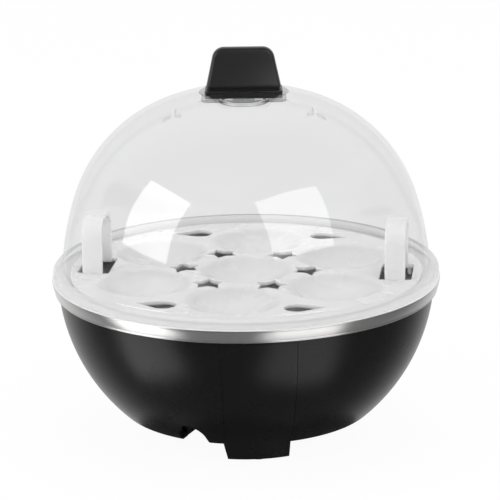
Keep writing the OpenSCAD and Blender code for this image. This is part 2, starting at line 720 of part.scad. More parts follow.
module bowl_housing() color([0.1, 0.1, 0.11]) difference() {
    union() {
        ball_shell(ball_r, bowl_in_r);
        // ledge for the ring and the dish
        translate([0, 0, bowl_top - ledge_t]) tube(bowl_top_r - 0.6 * bowl_wall, ledge_in_r, ledge_t);
        // thicker wall behind each strap
        for (turn = leg_turns) rotate([0, 0, turn])
            strap_space(ball_r - bowl_wall / 2, ball_r - leg_t - bowl_wall, bowl_wall);
        for (turn = leg_turns) boss(turn, leg_screw_r);
        for (turn = plate_turns) boss(turn, plate_screw_r);
        for (turn = [0, 180]) pillar(turn);
        // panel for the switch
        intersection() {
            on_flat() translate([0, 0, flat_d - panel_t])
                rounded_block(2 * (housing_w + bezel_w) + 5, 2 * (housing_l + bezel_w) + 5, panel_t + 5, 4);
            translate([0, 0, ball_z]) sphere(r = ball_r - bowl_wall / 2);
        }
    }
    for (turn = leg_turns) rotate([0, 0, turn]) strap_space(ball_r + 1, ball_r - leg_t, fit / 2);
    // seat of the base plate
    translate([0, 0, bowl_bottom - 1]) cylinder(r = plate_r + fit / 2, h = plate_t + 1);
    for (turn = leg_turns) pilot(turn, leg_screw_r);
    for (turn = plate_turns) pilot(turn, plate_screw_r);
    for (side = [-1, 1]) translate([side * pillar_x, 0, clamp_top - 1])
        cylinder(r = screw_r + pin_fit, h = 11);
    for (turn = plate_turns) rotate([0, 0, turn])
        translate([ring_in_r - fit, -lug_w / 2 - fit, bowl_top - ledge_t - 1])
            cube([ring_t + 2 * fit, lug_w + 2 * fit, ledge_t + 2]);
    cord_notch();
    on_flat() {
        translate([0, 0, flat_d])
            rounded_block(2 * (housing_w + bezel_w + fit), 2 * (housing_l + bezel_w + fit), 9, 2);
        translate([0, 0, flat_d - panel_t - 2])
            rounded_block(2 * (housing_w + fit), 2 * (housing_l + fit), panel_t + 4, 1);
    }
}

// ---- Feet ----

module leg_section() {
    foot_in_r = foot_r - foot_depth;
    strap_in_r = ball_r - leg_t;
    intersection() {
        translate([0, ball_z]) difference() {
            circle(r = ball_r);
            circle(r = strap_in_r);
        }
        translate([0, bowl_bottom - eps]) square([ball_r + 1, bowl_top - bowl_bottom + eps]);
    }
    // foot below the bowl, its outer face tangent to the ball
    intersection() {
        union() {
            polygon([[foot_in_r, pad_out], [foot_r, pad_out], tangent_p, [foot_in_r, tangent_p[1]]]);
            intersection() {
                translate([0, ball_z]) circle(r = ball_r);
                translate([foot_in_r, 0]) square([ball_r, tangent_p[1]]);
                polygon([[foot_in_r, pad_out], [foot_r, pad_out], tangent_p, tangent_p + [20, 40],
                    [foot_in_r, tangent_p[1] + 40]]);
            }
        }
        translate([foot_in_r, pad_out]) square([ball_r, bowl_bottom - pad_out]);
    }
    // corner between the foot's top and the strap
    intersection() {
        polygon([tangent_p, [foot_r, pad_out], [foot_r, bowl_bottom], [tangent_p[0], tangent_p[1] + 2]]);
        translate([0, ball_z]) difference() {
            circle(r = ball_r);
            circle(r = strap_in_r);
        }
    }
}

module leg(turn) color([0.1, 0.1, 0.11]) rotate([0, 0, turn]) difference() {
    intersection() {
        rotate_extrude() leg_section();
        leg_wedge(0);
    }
    translate([leg_screw_r, 0, 0]) {
        cylinder(r = pad_r + fit / 2, h = pad_t);
        cylinder(r = head_r + fit, h = leg_screw_z);
        cylinder(r = screw_r + 0.3, h = bowl_bottom + 1);
    }
}

module leg_front() leg(leg_turns[0]);
module leg_right() leg(leg_turns[1]);
module leg_left() leg(leg_turns[2]);

module foot_pads() color([0.25, 0.25, 0.26]) for (turn = leg_turns)
    turned(turn, leg_screw_r) cylinder(r = pad_r, h = pad_t);

module leg_screws() color([0.75, 0.76, 0.78]) for (turn = leg_turns)
    turned(turn, leg_screw_r) translate([0, 0, leg_screw_z])
        screw(screw_r, plate_top + boss_h - 2 - leg_screw_z, head_r, leg_screw_z - pad_t);

// ---- Base plate ----

module base_plate() color([0.13, 0.13, 0.14]) difference() {
    union() {
        translate([0, 0, bowl_bottom]) cylinder(r = plate_r, h = plate_t);
        intersection() {
            rotate([0, 0, cord_turn]) box_between(
                [gutter_in_r - gutter_wall, -gutter_w / 2 - gutter_wall, bowl_bottom],
                [plate_r, gutter_w / 2 + gutter_wall, gutter_top + gutter_wall]);
            translate([0, 0, bowl_bottom]) cylinder(r = plate_r, h = gutter_h + gutter_wall);
        }
    }
    rotate([0, 0, cord_turn]) box_between([gutter_in_r, -gutter_w / 2, bowl_bottom - 1],
        [plate_r + 1, gutter_w / 2, gutter_top]);
    turned(cord_turn, inlet_r) translate([0, 0, bowl_bottom]) cylinder(r = gland_r + fit, h = gutter_h + 5);
    for (turn = leg_turns) turned(turn, leg_screw_r) translate([0, 0, bowl_bottom - 1])
        cylinder(r = screw_r + 0.3, h = plate_t + 2);
    for (turn = plate_turns) turned(turn, plate_screw_r) translate([0, 0, bowl_bottom - 1])
        cylinder(r = screw_r + 0.3, h = plate_t + 2);
    // air slots
    for (turn = [20:20:340]) if (abs(turn - 240) > 30) rotate([0, 0, turn])
        translate([12, -1.2, bowl_bottom - 1]) cube([10, 2.4, plate_t + 2]);
}

module base_screws() color([0.75, 0.76, 0.78]) for (turn = plate_turns)
    turned(turn, plate_screw_r) translate([0, 0, bowl_bottom])
        screw(screw_r, plate_t + boss_h - 2, head_r, head_h);

module cord_gland() color([0.12, 0.12, 0.12]) turned(cord_turn, inlet_r) difference() {
    union() {
        translate([0, 0, gland_z]) cylinder(r = gland_collar_r, h = gland_collar_t);
        translate([0, 0, gland_z]) cylinder(r = gland_r, h = gland_top - gland_z);
        translate([0, 0, gland_top - gland_collar_t]) cylinder(r = gland_collar_r, h = gland_collar_t);
    }
    translate([0, 0, gland_z - 1]) cylinder(r = gland_bore_r, h = gland_top - gland_z + 2);
}

// ---- Water dish and heater ----

module heating_dish() color([0.78, 0.79, 0.8]) rotate_extrude() {
    wall_in_r = dish_r - dish_t;
    corner = [dish_r - dish_corner_r, dish_under + dish_corner_r];
    translate([wall_in_r, dish_rim_z]) square([dish_flange_r - wall_in_r, dish_t]);
    translate([wall_in_r, corner[1]]) square([dish_t, dish_top - corner[1]]);
    intersection() {
        translate(corner) difference() {
            circle(r = dish_corner_r);
            circle(r = dish_corner_r - dish_t);
        }
        translate([corner[0], dish_under]) square(dish_corner_r);
    }
    translate([0, dish_under]) square([corner[0], dish_t]);
}

module dish_seal() color([0.8, 0.3, 0.2]) translate([0, 0, seal_z])
    tube(dish_flange_r - fit, ledge_in_r + fit, seal_t);

module heat_spreader() color([0.8, 0.81, 0.82]) {
    difference() {
        translate([0, 0, spreader_z]) cylinder(r = spreader_r, h = spreader_t);
        rotate_extrude() translate([element_r, element_z]) circle(r = element_tube_r + fit);
        for (side = [-1, 1]) translate([0, side * ear_y, spreader_z - 1])
            cylinder(r = screw_r + pin_fit, h = 4.4);
    }
    for (side = [-1, 1]) translate([side * stud_x, 0, nut_z - 1])
        cylinder(r = stud_r, h = spreader_z - nut_z + 1 + eps);
}

module heating_element() color([0.45, 0.42, 0.4]) {
    sleeve_r = element_tube_r + 0.1;
    rotate([0, 0, -90 + element_gap]) translate([0, 0, element_z])
        rotate_extrude(angle = 360 - 2 * element_gap) translate([element_r, 0]) circle(r = element_tube_r);
    for (side = [0, 1]) mirror([side, 0, 0]) {
        turned(-90 + element_gap, element_r) rotate([0, 0, -90]) {
            translate([0, 0, element_z - element_bend]) rotate([90, 0, 0]) rotate_extrude(angle = 90)
                translate([element_bend, 0]) circle(r = element_tube_r);
            translate([-1.5, 0, element_z]) rotate([0, 90, 0]) cylinder(r = sleeve_r, h = 3);
        }
        translate([element_end_p[0], element_end_p[1], element_end_z])
            cylinder(r = sleeve_r, h = element_end + 1);
    }
}

module element_pins() color([0.7, 0.62, 0.4]) for (side = [-1, 1])
    translate([side * element_end_p[0], element_end_p[1], pin_z]) cylinder(r = pin_r, h = pin_l);

module clamp_bar() color([0.7, 0.71, 0.72]) translate([0, 0, clamp_z]) linear_extrude(clamp_t) difference() {
    union() {
        square([2 * (pillar_x + clamp_w / 2), clamp_w], center = true);
        circle(r = ear_y + 5);
    }
    circle(r = thermostat_r + 2.5);
    for (side = [-1, 1]) translate([0, side * ear_y]) circle(r = small_head_r + 0.4);
    for (side = [-1, 1]) {
        translate([side * pillar_x, 0]) circle(r = screw_r + 0.2);
        translate([side * stud_x, 0]) circle(r = stud_r + 0.2);
    }
}

module clamp_screws() color([0.75, 0.76, 0.78]) for (side = [-1, 1])
    translate([side * pillar_x, 0, clamp_z]) screw(screw_r, clamp_t + 9, 2.8, 2);

module clamp_nuts() color([0.75, 0.76, 0.78]) for (side = [-1, 1])
    translate([side * stud_x, 0, nut_z]) difference() {
        cylinder(r = 4, h = nut_h, $fn = 6);
        translate([0, 0, -1]) cylinder(r = stud_r + pin_fit, h = nut_h + 2);
    }

module clamp_washer() color([0.75, 0.76, 0.78]) translate([stud_x, 0, clamp_z - tag_t])
    tube(4.4, stud_r + pin_fit, tag_t);

module earth_tag() color([0.8, 0.7, 0.4]) translate([-stud_x, 0, clamp_z - tag_t]) difference() {
    union() {
        cylinder(r = 4.4, h = tag_t);
        translate([-2.4, -tag_l, 0]) cube([4.8, tag_l, tag_t]);
    }
    translate([0, 0, -1]) cylinder(r = stud_r + pin_fit, h = tag_t + 2);
}

// ---- Thermostat and fuse ----

module thermostat_body() color([0.35, 0.22, 0.15]) translate([0, 0, thermostat_z])
    cylinder(r = thermostat_r - 0.6, h = thermostat_h - ear_t);

module thermostat_cap() color([0.8, 0.8, 0.82]) translate([0, 0, spreader_z - cap_h])
    cylinder(r = thermostat_r, h = cap_h);

module thermostat_bracket() color([0.8, 0.8, 0.82])
    translate([0, 0, ear_z]) linear_extrude(ear_t) difference() {
    union() {
        circle(r = thermostat_r);
        rounded(ear_w, 2 * ear_y + ear_w, ear_w / 2 - 0.5);
    }
    for (side = [-1, 1]) translate([0, side * ear_y]) circle(r = screw_r + 0.2);
}

module thermostat_screws() color([0.75, 0.76, 0.78]) for (side = [-1, 1])
    translate([0, side * ear_y, ear_z]) screw(screw_r, spreader_z - ear_z + 3, small_head_r, 1.6);

module thermostat_blades() color([0.8, 0.7, 0.4]) for (side = [-1, 1])
    translate([side * thermostat_blade_x - blade_t / 2, -blade_w / 2, thermostat_z - blade_l])
        cube([blade_t, blade_w, blade_l]);

module thermal_fuse() color([0.85, 0.85, 0.8]) translate([0, fuse_y, fuse_z]) rotate([0, 90, 0]) {
    translate([0, 0, -fuse_l / 2]) cylinder(r = fuse_r, h = fuse_l);
    translate([0, 0, -fuse_l / 2 - fuse_wire_l]) cylinder(r = 0.5, h = fuse_l + 2 * fuse_wire_l);
}

module fuse_clip() color([0.8, 0.8, 0.82]) {
    loop_r = fuse_r + fit + fuse_clip_t;
    translate([-fuse_clip_w / 2, fuse_y, fuse_z]) rotate([90, 0, 90])
        linear_extrude(fuse_clip_w) difference() {
        union() {
            circle(r = loop_r);
            translate([-loop_r, 0]) square([2 * loop_r, spreader_z - fuse_z]);
            translate([-loop_r - 1, spreader_z - fuse_z - fuse_clip_t]) square([2 * loop_r + 2, fuse_clip_t]);
        }
        circle(r = fuse_r + fit);
        translate([-fuse_r - fit, 0]) square([2 * (fuse_r + fit), spreader_z - fuse_z - fuse_clip_t]);
    }
}

// ---- Wiring ----

module terminal_block() color([0.9, 0.9, 0.88]) translate(block_p) difference() {
    translate([0, 0, 0]) linear_extrude(block_h) rounded(block_w, block_l, 1.5);
    for (pole = [-1, 0, 1]) translate([-block_w, pole * pole_pitch, block_h / 2]) rotate([0, 90, 0])
        cylinder(r = pole_r + pin_fit, h = 2 * block_w);
}

module terminal_inserts() color([0.8, 0.7, 0.4]) for (pole = [-1, 0, 1])
    translate([block_p[0] - block_w / 2, block_p[1] + pole * pole_pitch, pole_z]) rotate([0, 90, 0])
        tube(pole_r, lead_r + 0.3, block_w);

function unit(v) = v / norm(v);

// Smooth curve through points, with steps pieces in each span
function curve(p, steps) = [
    for (i = [0:len(p) - 2], s = [0:steps - 1]) let (
        t = s / steps,
        a = p[max(i - 1, 0)], b = p[i], c = p[i + 1], d = p[min(i + 2, len(p) - 1)])
        0.5 * (2 * b + (c - a) * t + (2 * a - 5 * b + 4 * c - d) * t * t
            + (3 * b - a - 3 * c + d) * pow(t, 3)),
    p[len(p) - 1]];

function way(q, i) = unit(q[min(i + 1, len(q) - 1)] - q[max(i - 1, 0)]);

// A point in the bowl's room: x and y as shares of its radius, z as a share of the way from gland to spreader
function in_room(x, y, z) = [x * bowl_in_r, y * bowl_in_r, gland_top + z * (spreader_z - gland_top)];

module lead(points) {
    sides = 8;
    q = curve(points, 4);
    last = len(points) - 1;
    // the ends are square to the first and the last stretch
    ways = [for (i = [0:len(q) - 1]) i == 0 ? unit(points[1] - points[0])
        : i == len(q) - 1 ? unit(points[last] - points[last - 1]) : way(q, i)];
    across = [for (i = 0, n = unit(cross(ways[0], [0.31, 0.57, 0.76])); i < len(q);
        i = i + 1, n = i < len(q) ? unit(n - (n * ways[i]) * ways[i]) : n) n];
    ring = [for (i = [0:len(q) - 1], s = [0:sides - 1]) let (a = 360 * s / sides)
        q[i] + lead_r * (cos(a) * across[i] + sin(a) * cross(ways[i], across[i]))];
    polyhedron(points = ring, faces = concat(
        [[for (s = [0:sides - 1]) s]],
        [[for (s = [0:sides - 1]) len(ring) - 1 - s]],
        [for (i = [0:len(q) - 2], s = [0:sides - 1]) let (n = (s + 1) % sides, a = i * sides)
            [a + s, a + sides + s, a + sides + n, a + n]]));
}

// Ends of the leads: in a pole of the block from its inner or outer side, and at a switch blade's tip
function pole(n, side, depth) =
    [block_p[0] + side * (block_w / 2 - depth), block_p[1] + n * pole_pitch, pole_z];
function switch_tip(x, away) = on_switch(x, switch_blade_y, switch_tip_d - fit - away);
function pin_tip(side, away) = [side * element_end_p[0], element_end_p[1], pin_z - fit - away];
function thermostat_tip(side, away) = [side * thermostat_blade_x, 0, thermostat_z - blade_l - fit - away];
function fuse_tip(side, away) = [side * (fuse_l / 2 + fuse_wire_l + fit + away), fuse_y, fuse_z];

module live_leads() color([0.55, 0.2, 0.1]) {
    lead([pole(1, 1, 4), pole(1, 1, 0), pole(1, 1, -4), in_room(-0.099, 0.248, 0.051),
        in_room(0.037, 0.472, 0.412), switch_tip(-switch_blade_x, 6), switch_tip(-switch_blade_x, 0)]);
    lead([switch_tip(0, 0), switch_tip(0, 6), in_room(0.05, 0.422, 0.558), in_room(0.112, 0.199, 0.305),
        in_room(0.075, 0.037, 0.232), thermostat_tip(1, 3), thermostat_tip(1, 0)]);
    lead([thermostat_tip(-1, 0), thermostat_tip(-1, 3), in_room(-0.087, 0.05, 0.268),
        in_room(-0.186, 0.174, 0.485), fuse_tip(-1, 3) - [0, 0, 3], fuse_tip(-1, 0)]);
    lead([fuse_tip(1, 0), fuse_tip(1, 3) - [0, 0, 3], in_room(0.248, 0.149, 0.521),
        in_room(0.248, -0.075, 0.268), in_room(0.199, -0.298, 0.123), pin_tip(1, 3), pin_tip(1, 0)]);
}

module neutral_leads() color([0.15, 0.3, 0.6]) {
    lead([pin_tip(-1, 0), pin_tip(-1, 3), in_room(-0.186, -0.273, 0.159), in_room(-0.199, -0.099, 0.051),
        pole(0, 1, -4), pole(0, 1, 0), pole(0, 1, 4)]);
    lead([switch_tip(switch_blade_x, 0), switch_tip(switch_blade_x, 6), in_room(-0.174, 0.447, 0.558),
        in_room(-0.422, 0.248, 0.449), in_room(-0.547, 0.05, 0.196), pole(0, -1, -5), pole(0, -1, 0),
        pole(0, -1, 4)]);
}

module earth_lead() color([0.5, 0.6, 0.2]) lead([
    [-stud_x, -tag_l - fit, clamp_z - tag_t / 2], [-stud_x, -tag_l - 4, clamp_z - tag_t / 2 - 1],
    in_room(-0.286, -0.224, 0.412), in_room(-0.236, -0.174, 0.051),
    pole(-1, 1, -3), pole(-1, 1, 0), pole(-1, 1, 4)]);

// ---- Switch ----

module switch_housing() color([0.08, 0.08, 0.09]) on_flat() difference() {
    union() {
        translate([0, 0, flat_d])
            rounded_block(2 * (housing_w + bezel_w), 2 * (housing_l + bezel_w), bezel_t, 1.6);
        translate([0, 0, flat_d - housing_d])
            rounded_block(2 * housing_w, 2 * housing_l, housing_d + eps, 0.8);
    }
    translate([-cavity_w, -cavity_l, pivot_d - 4.4]) cube([2 * cavity_w, 2 * cavity_l, 10]);
    translate([-cavity_w - 0.9, 0, pivot_d]) rotate([0, 90, 0])
        cylinder(r = pivot_r + pin_fit, h = 2 * cavity_w + 1.8);
}

module switch_blades() color([0.8, 0.7, 0.4]) on_flat() for (side = [-1, 0, 1])
    translate([side * switch_blade_x - blade_t / 2, switch_blade_y - blade_w / 2, switch_tip_d])
        cube([blade_t, blade_w, blade_l]);

module switch_rocker() color([0.7, 0.08, 0.06])
    on_flat() translate([0, 0, pivot_d]) rotate([rocker_tilt, 0, 0]) {
    rise = rocker_r * tan(rocker_slope);
    translate([-rocker_w / 2, 0, 0]) rotate([90, 0, 90]) linear_extrude(rocker_w) intersection() {
        circle(r = rocker_r);
        polygon([[-rocker_r, -rocker_skirt], [rocker_r, -rocker_skirt], [rocker_r, rocker_mid + rise],
            [0, rocker_mid], [-rocker_r, rocker_mid + rise]]);
    }
    translate([-cavity_w - 0.7, 0, 0]) rotate([0, 90, 0]) cylinder(r = pivot_r, h = 2 * cavity_w + 1.4);
}

lid_dome();
lid_handle();
egg_tray();
egg_cups();
rim_ring();
bowl_housing();
leg_front();
leg_right();
leg_left();
foot_pads();
leg_screws();
base_plate();
base_screws();
cord_gland();
heating_dish();
dish_seal();
heat_spreader();
heating_element();
element_pins();
clamp_bar();
clamp_screws();
clamp_nuts();
clamp_washer();
earth_tag();
thermostat_body();
thermostat_cap();
thermostat_bracket();
thermostat_screws();
thermostat_blades();
thermal_fuse();
fuse_clip();
terminal_block();
terminal_inserts();
live_leads();
neutral_leads();
earth_lead();
switch_housing();
switch_blades();
switch_rocker();
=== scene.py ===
import json
import math

import bpy
from mathutils import Matrix, Vector


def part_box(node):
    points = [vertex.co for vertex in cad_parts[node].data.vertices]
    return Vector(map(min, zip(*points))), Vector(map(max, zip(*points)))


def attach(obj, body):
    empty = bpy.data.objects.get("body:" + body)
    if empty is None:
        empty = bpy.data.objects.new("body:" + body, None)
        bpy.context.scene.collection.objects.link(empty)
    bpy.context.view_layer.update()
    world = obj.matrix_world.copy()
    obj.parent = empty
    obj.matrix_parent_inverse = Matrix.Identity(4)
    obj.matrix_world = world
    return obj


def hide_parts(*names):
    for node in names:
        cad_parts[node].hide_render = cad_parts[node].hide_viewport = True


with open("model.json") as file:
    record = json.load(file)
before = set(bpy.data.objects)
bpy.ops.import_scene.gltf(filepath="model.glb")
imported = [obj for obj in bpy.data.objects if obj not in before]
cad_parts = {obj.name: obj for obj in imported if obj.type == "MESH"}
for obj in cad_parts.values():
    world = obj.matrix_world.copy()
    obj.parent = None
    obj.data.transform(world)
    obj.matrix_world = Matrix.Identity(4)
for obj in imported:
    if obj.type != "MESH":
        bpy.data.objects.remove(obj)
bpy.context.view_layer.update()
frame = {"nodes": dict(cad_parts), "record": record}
bpy.context.scene.view_settings.view_transform = "Standard"

mm = 0.001
weld = 1e-7  # metres within which points are one
near = 0.2   # millimetres of slack where faces are picked by their place
# lays an outline drawn in XY upright: across the cooker, up, and pulled outwards along X
facingOut = Matrix(((0, 0, 1, 0), (1, 0, 0, 0), (0, 1, 0, 0), (0, 0, 0, 1)))


def deselectAll():
    if bpy.context.object and bpy.context.object.mode != "OBJECT":
        bpy.ops.object.mode_set(mode="OBJECT")
    bpy.ops.object.select_all(action="DESELECT")


def pick(*pieces):
    deselectAll()
    for piece in pieces:
        piece.select_set(True)
    bpy.context.view_layer.objects.active = pieces[0]


def edit(piece, kind="VERT"):
    pick(piece)
    bpy.ops.object.mode_set(mode="EDIT")
    bpy.ops.mesh.select_mode(type=kind)


def closeEdit():
    bpy.ops.object.mode_set(mode="OBJECT")


def selectMesh():
    bpy.ops.mesh.select_all(action="SELECT")


def faceOutwards():
    selectMesh()
    bpy.ops.mesh.normals_make_consistent(inside=False)


def clearMarks(piece):
    for part in (piece.data.polygons, piece.data.edges, piece.data.vertices):
        part.foreach_set("select", [False] * len(part))


def markFaces(piece, test):
    clearMarks(piece)
    for face in piece.data.polygons:
        face.select = bool(test(face.center, face.normal))


def finishWith(piece, kind, **settings):
    pick(piece)
    modifier = piece.modifiers.new(kind.lower(), kind)
    for name, value in settings.items():
        setattr(modifier, name, value)
    bpy.ops.object.modifier_apply(modifier=modifier.name)


def discard(*pieces):
    for piece in pieces:
        bpy.data.objects.remove(piece, do_unlink=True)


def cut(piece, tool, way="DIFFERENCE"):
    finishWith(piece, "BOOLEAN", operation=way, object=tool, solver="EXACT")
    discard(tool)


def joined(name, *pieces):
    pick(*pieces)
    if len(pieces) > 1:
        bpy.ops.object.join()
    piece = bpy.context.object
    piece.name = piece.data.name = name
    return piece


def turnPiece(piece, degrees):
    piece.data.transform(Matrix.Rotation(math.radians(degrees), 4, "Z"))
    piece.data.update()


def copyOf(piece, name, turn=0):
    twin = piece.copy()
    twin.data = piece.data.copy()
    twin.name = twin.data.name = name
    bpy.context.collection.objects.link(twin)
    if turn:
        turnPiece(twin, turn)
    return twin


def smooth(piece, angle):
    pick(piece)
    bpy.ops.object.shade_smooth_by_angle(angle=math.radians(angle))


def arc(centre, radius, start, end, steps):
    # points on a circle, angles in degrees
    angles = [math.radians(start + (end - start) * i / steps) for i in range(steps + 1)]
    return [(centre[0] + radius * math.cos(a), centre[1] + radius * math.sin(a)) for a in angles]


def softened(corners, steps):
    # each corner is (x, y) or (x, y, radius); round ones become short arcs
    line = []
    for i, corner in enumerate(corners):
        here = Vector(corner[:2])
        radius = corner[2] if len(corner) > 2 else 0
        if radius <= 0:
            line.append(tuple(here))
            continue
        back = Vector(corners[i - 1][:2]) - here
        ahead = Vector(corners[(i + 1) % len(corners)][:2]) - here
        half = back.angle(ahead) / 2
        # an arc takes up less than half of either side
        most = 0.49 * min(back.length, ahead.length)
        reach = min(radius / math.tan(half), most)
        radius = reach * math.tan(half)
        inwards = (back.normalized() + ahead.normalized()).normalized()
        middle = here + inwards * radius / math.sin(half)
        first = here + back.normalized() * reach - middle
        last = here + ahead.normalized() * reach - middle
        turn = first.angle_signed(last)
        for s in range(steps + 1):
            spoke = first.copy()
            spoke.rotate(Matrix.Rotation(-turn * s / steps, 2))
            line.append(tuple(middle + spoke))
    return line


def outlineShape(name, points, fill="NOTHING"):
    # a circle primitive whose corners are moved to the given points, in millimetres
    deselectAll()
    bpy.ops.mesh.primitive_circle_add(vertices=len(points), radius=10 * mm, fill_type=fill)
    piece = bpy.context.object
    piece.name = piece.data.name = name
    for vertex, point in zip(piece.data.vertices, points):
        vertex.co = [c * mm for c in point]
    return piece


def turned(name, outline, steps, closed=True, sweep=360):
    # an outline of (radius, height) spun round the upright axis, whole or as a wedge
    piece = outlineShape(name, [(x, 0, z) for x, z in outline])
    if not closed:
        # an outline that starts and ends on the axis has no edge between its ends
        ends = {0, len(outline) - 1}
        clearMarks(piece)
        for edge in piece.data.edges:
            edge.select = set(edge.vertices) == ends
        edit(piece, "EDGE")
        bpy.ops.mesh.delete(type="EDGE")
        closeEdit()
    if sweep < 360:
        turnPiece(piece, sweep / 2)  # spin turns clockwise
    edit(piece)
    selectMesh()
    bpy.ops.mesh.spin(steps=steps, angle=math.radians(sweep), center=(0, 0, 0), axis=(0, 0, 1))
    selectMesh()
    bpy.ops.mesh.remove_doubles(threshold=weld)
    if sweep < 360:
        bpy.ops.mesh.select_all(action="DESELECT")
        bpy.ops.mesh.select_non_manifold(extend=False, use_wire=False, use_boundary=True,
                                         use_multi_face=False, use_non_contiguous=False,
                                         use_verts=False)
        bpy.ops.mesh.fill_holes(sides=0)
    faceOutwards()
    closeEdit()
    return piece


def slab(name, outline, height, low=0):
    # a flat outline in XY pulled up along Z
    piece = outlineShape(name, [(x, y, low) for x, y in outline], "NGON")
    edit(piece, "FACE")
    selectMesh()
    bpy.ops.mesh.extrude_region_move(TRANSFORM_OT_translate={"value": (0, 0, height * mm)})
    faceOutwards()
    closeEdit()
    return piece


def block(name, width, depth, height, place, corner, steps=5):
    # a block with its four upright edges rounded; place is the middle of its underside
    w, d = width / 2, depth / 2
    corners = [(-w, -d, corner), (w, -d, corner), (w, d, corner), (-w, d, corner)]
    piece = slab(name, softened(corners, steps), height)
    piece.data.transform(Matrix.Translation(Vector(place) * mm))
    return piece


def softEdges(piece, width, angle=35):
    finishWith(piece, "BEVEL", width=width * mm, segments=3, limit_method="ANGLE",
               angle_limit=math.radians(angle), use_clamp_overlap=True, harden_normals=False)


class Wire:
    # a socket in a node tree, on which plain arithmetic adds Math nodes
    def __init__(self, finish, socket):
        self.finish, self.socket = finish, socket

    def __add__(self, other):
        return self.finish.maths("ADD", self, other)

    __radd__ = __add__

    def __sub__(self, other):
        return self.finish.maths("SUBTRACT", self, other)

    def __rsub__(self, other):
        return self.finish.maths("SUBTRACT", other, self)

    def __mul__(self, other):
        return self.finish.maths("MULTIPLY", self, other)

    __rmul__ = __mul__

    def __pow__(self, other):
        return self.finish.maths("POWER", self, other)


class Finish:
    # the node tree of a new material, or of another owner such as the world
    def __init__(self, name, owner=None):
        self.owner = owner or bpy.data.materials.new(name)
        self.owner.use_nodes = True
        self.tree = self.owner.node_tree
        self.tree.nodes.clear()

    def node(self, kind, values=None, out=0, **settings):
        # out is one output, or a tuple of them
        node = self.tree.nodes.new("ShaderNode" + kind)
        for name, value in settings.items():
            if name == "stops":
                for stop, (place, shade) in zip(node.color_ramp.elements, value):
                    stop.position = place
                    stop.color = (shade, shade, shade, 1)
            else:
                setattr(node, name, value)
        for name, value in (values or {}).items():
            if isinstance(value, Wire):
                self.tree.links.new(value.socket, node.inputs[name])
            else:
                node.inputs[name].default_value = value
        if isinstance(out, tuple):
            return [Wire(self, node.outputs[name]) for name in out]
        return Wire(self, node.outputs[out])

    def maths(self, kind, a, b):
        return self.node("Math", {0: a, 1: b}, operation=kind)

    def noise(self, scale, detail, rough=0.5, spot=None):
        return self.node("TexNoise", {"Vector": spot or self.node("TexCoord", out="Object"),
                                      "Scale": scale, "Detail": detail, "Roughness": rough})

    def ramp(self, value, *stops):
        return self.node("ValToRGB", {"Fac": value}, stops=stops)

    def mix(self, mask, a, b):
        return self.node("Mix", {0: mask, 6: (*a, 1), 7: (*b, 1)}, out=2, data_type="RGBA")

    def blend(self, mask, first, second):
        return self.node("MixShader", {0: mask, 1: first, 2: second})

    def bump(self, height, depth, strength=1.0):
        return self.node("Bump", {"Height": height, "Distance": depth * mm, "Strength": strength})

    def facing(self):
        # 0 where a face is seen straight on, 1 at its edge
        return self.node("LayerWeight", {"Blend": 0.5}, out="Facing")

    def clear(self, share, tint=0.0):
        return self.node("BsdfTransparent", {"Color": (share, share, share + tint, 1)})

    def close(self, shader):
        kind = "OutputWorld" if isinstance(self.owner, bpy.types.World) else "OutputMaterial"
        self.node(kind, {"Surface": shader}, out=())
        return self.owner


def shadeOf(colour, factor):
    return tuple(c * factor for c in colour)


# noise scales and detail that the finishes share
flowMarks, unevenGloss, clouds = (26, 4), (60, 5), (18, 3)


def moulded(name, colour, rough=0.4, spread=0.08, grain=0.01, grainScale=900, shine=0.5,
            mottle=0.15, **extra):
    # moulded plastic: faint flow marks in the colour, uneven gloss and a fine skin
    finish = Finish(name)
    flow = finish.ramp(finish.noise(*flowMarks), (0.35, 0), (0.7, 1))
    skin = finish.noise(grainScale, 2)
    return finish.close(finish.node("BsdfPrincipled", {
        "Base Color": finish.mix(flow, shadeOf(colour, 1 - mottle), shadeOf(colour, 1 + mottle)),
        "Roughness": rough - spread / 2 + spread * finish.noise(*unevenGloss),
        "Specular IOR Level": shine, "Normal": finish.bump(skin, grain), **extra}))


def metal(name, colour, rough=0.3, spread=0.12, scale=120, grain=0.004, mottle=0.12, **extra):
    # sheet and turned metal: streaks in the gloss, clouds in the colour, fine lines in the surface
    finish = Finish(name)
    streak = finish.noise(scale, 5, 0.6)
    tone = finish.mix(streak * 0.6 + finish.noise(*clouds) * 0.4,
                      shadeOf(colour, 1 - mottle), shadeOf(colour, 1 + mottle))
    return finish.close(finish.node("BsdfPrincipled", {
        "Base Color": tone, "Metallic": 1.0, "Roughness": rough - spread / 2 + spread * streak,
        "Normal": finish.bump(streak, grain), **extra}))


# camera
view = {
    "turn": -6.2,        # degrees round the cooker, 0 is straight in front of the front foot
    "away": 1.0629,      # metres from the axis
    "height": 0.3835,
    "down": 15.79,       # degrees
    "side": 0.1,
    "roll": -0.74,
    "lens": 179.39,
    "sensor": 36,
    "reach": (0.05, 50),
}


def placeCamera():
    down, side, roll = (math.radians(view[k]) for k in ("down", "side", "roll"))
    ahead = Vector((math.sin(side) * math.cos(down), math.cos(side) * math.cos(down),
                    -math.sin(down)))
    right = Vector((math.cos(side), -math.sin(side), 0))
    up = right.cross(ahead)
    right, up = (right * math.cos(roll) + up * math.sin(roll),
                 up * math.cos(roll) - right * math.sin(roll))
    axes = Matrix((right, up, -ahead)).transposed().to_4x4()
    lens = bpy.data.cameras.new("camera")
    camera = bpy.data.objects.new("camera", lens)
    bpy.context.collection.objects.link(camera)
    camera.matrix_world = (Matrix.Rotation(math.radians(view["turn"]), 4, "Z")
                           @ Matrix.Translation((0, -view["away"], view["height"])) @ axes)
    lens.lens, lens.sensor_width, lens.sensor_fit = view["lens"], view["sensor"], "HORIZONTAL"
    lens.clip_start, lens.clip_end = view["reach"]
    bpy.context.scene.camera = camera


placeCamera()
print("camera placed")

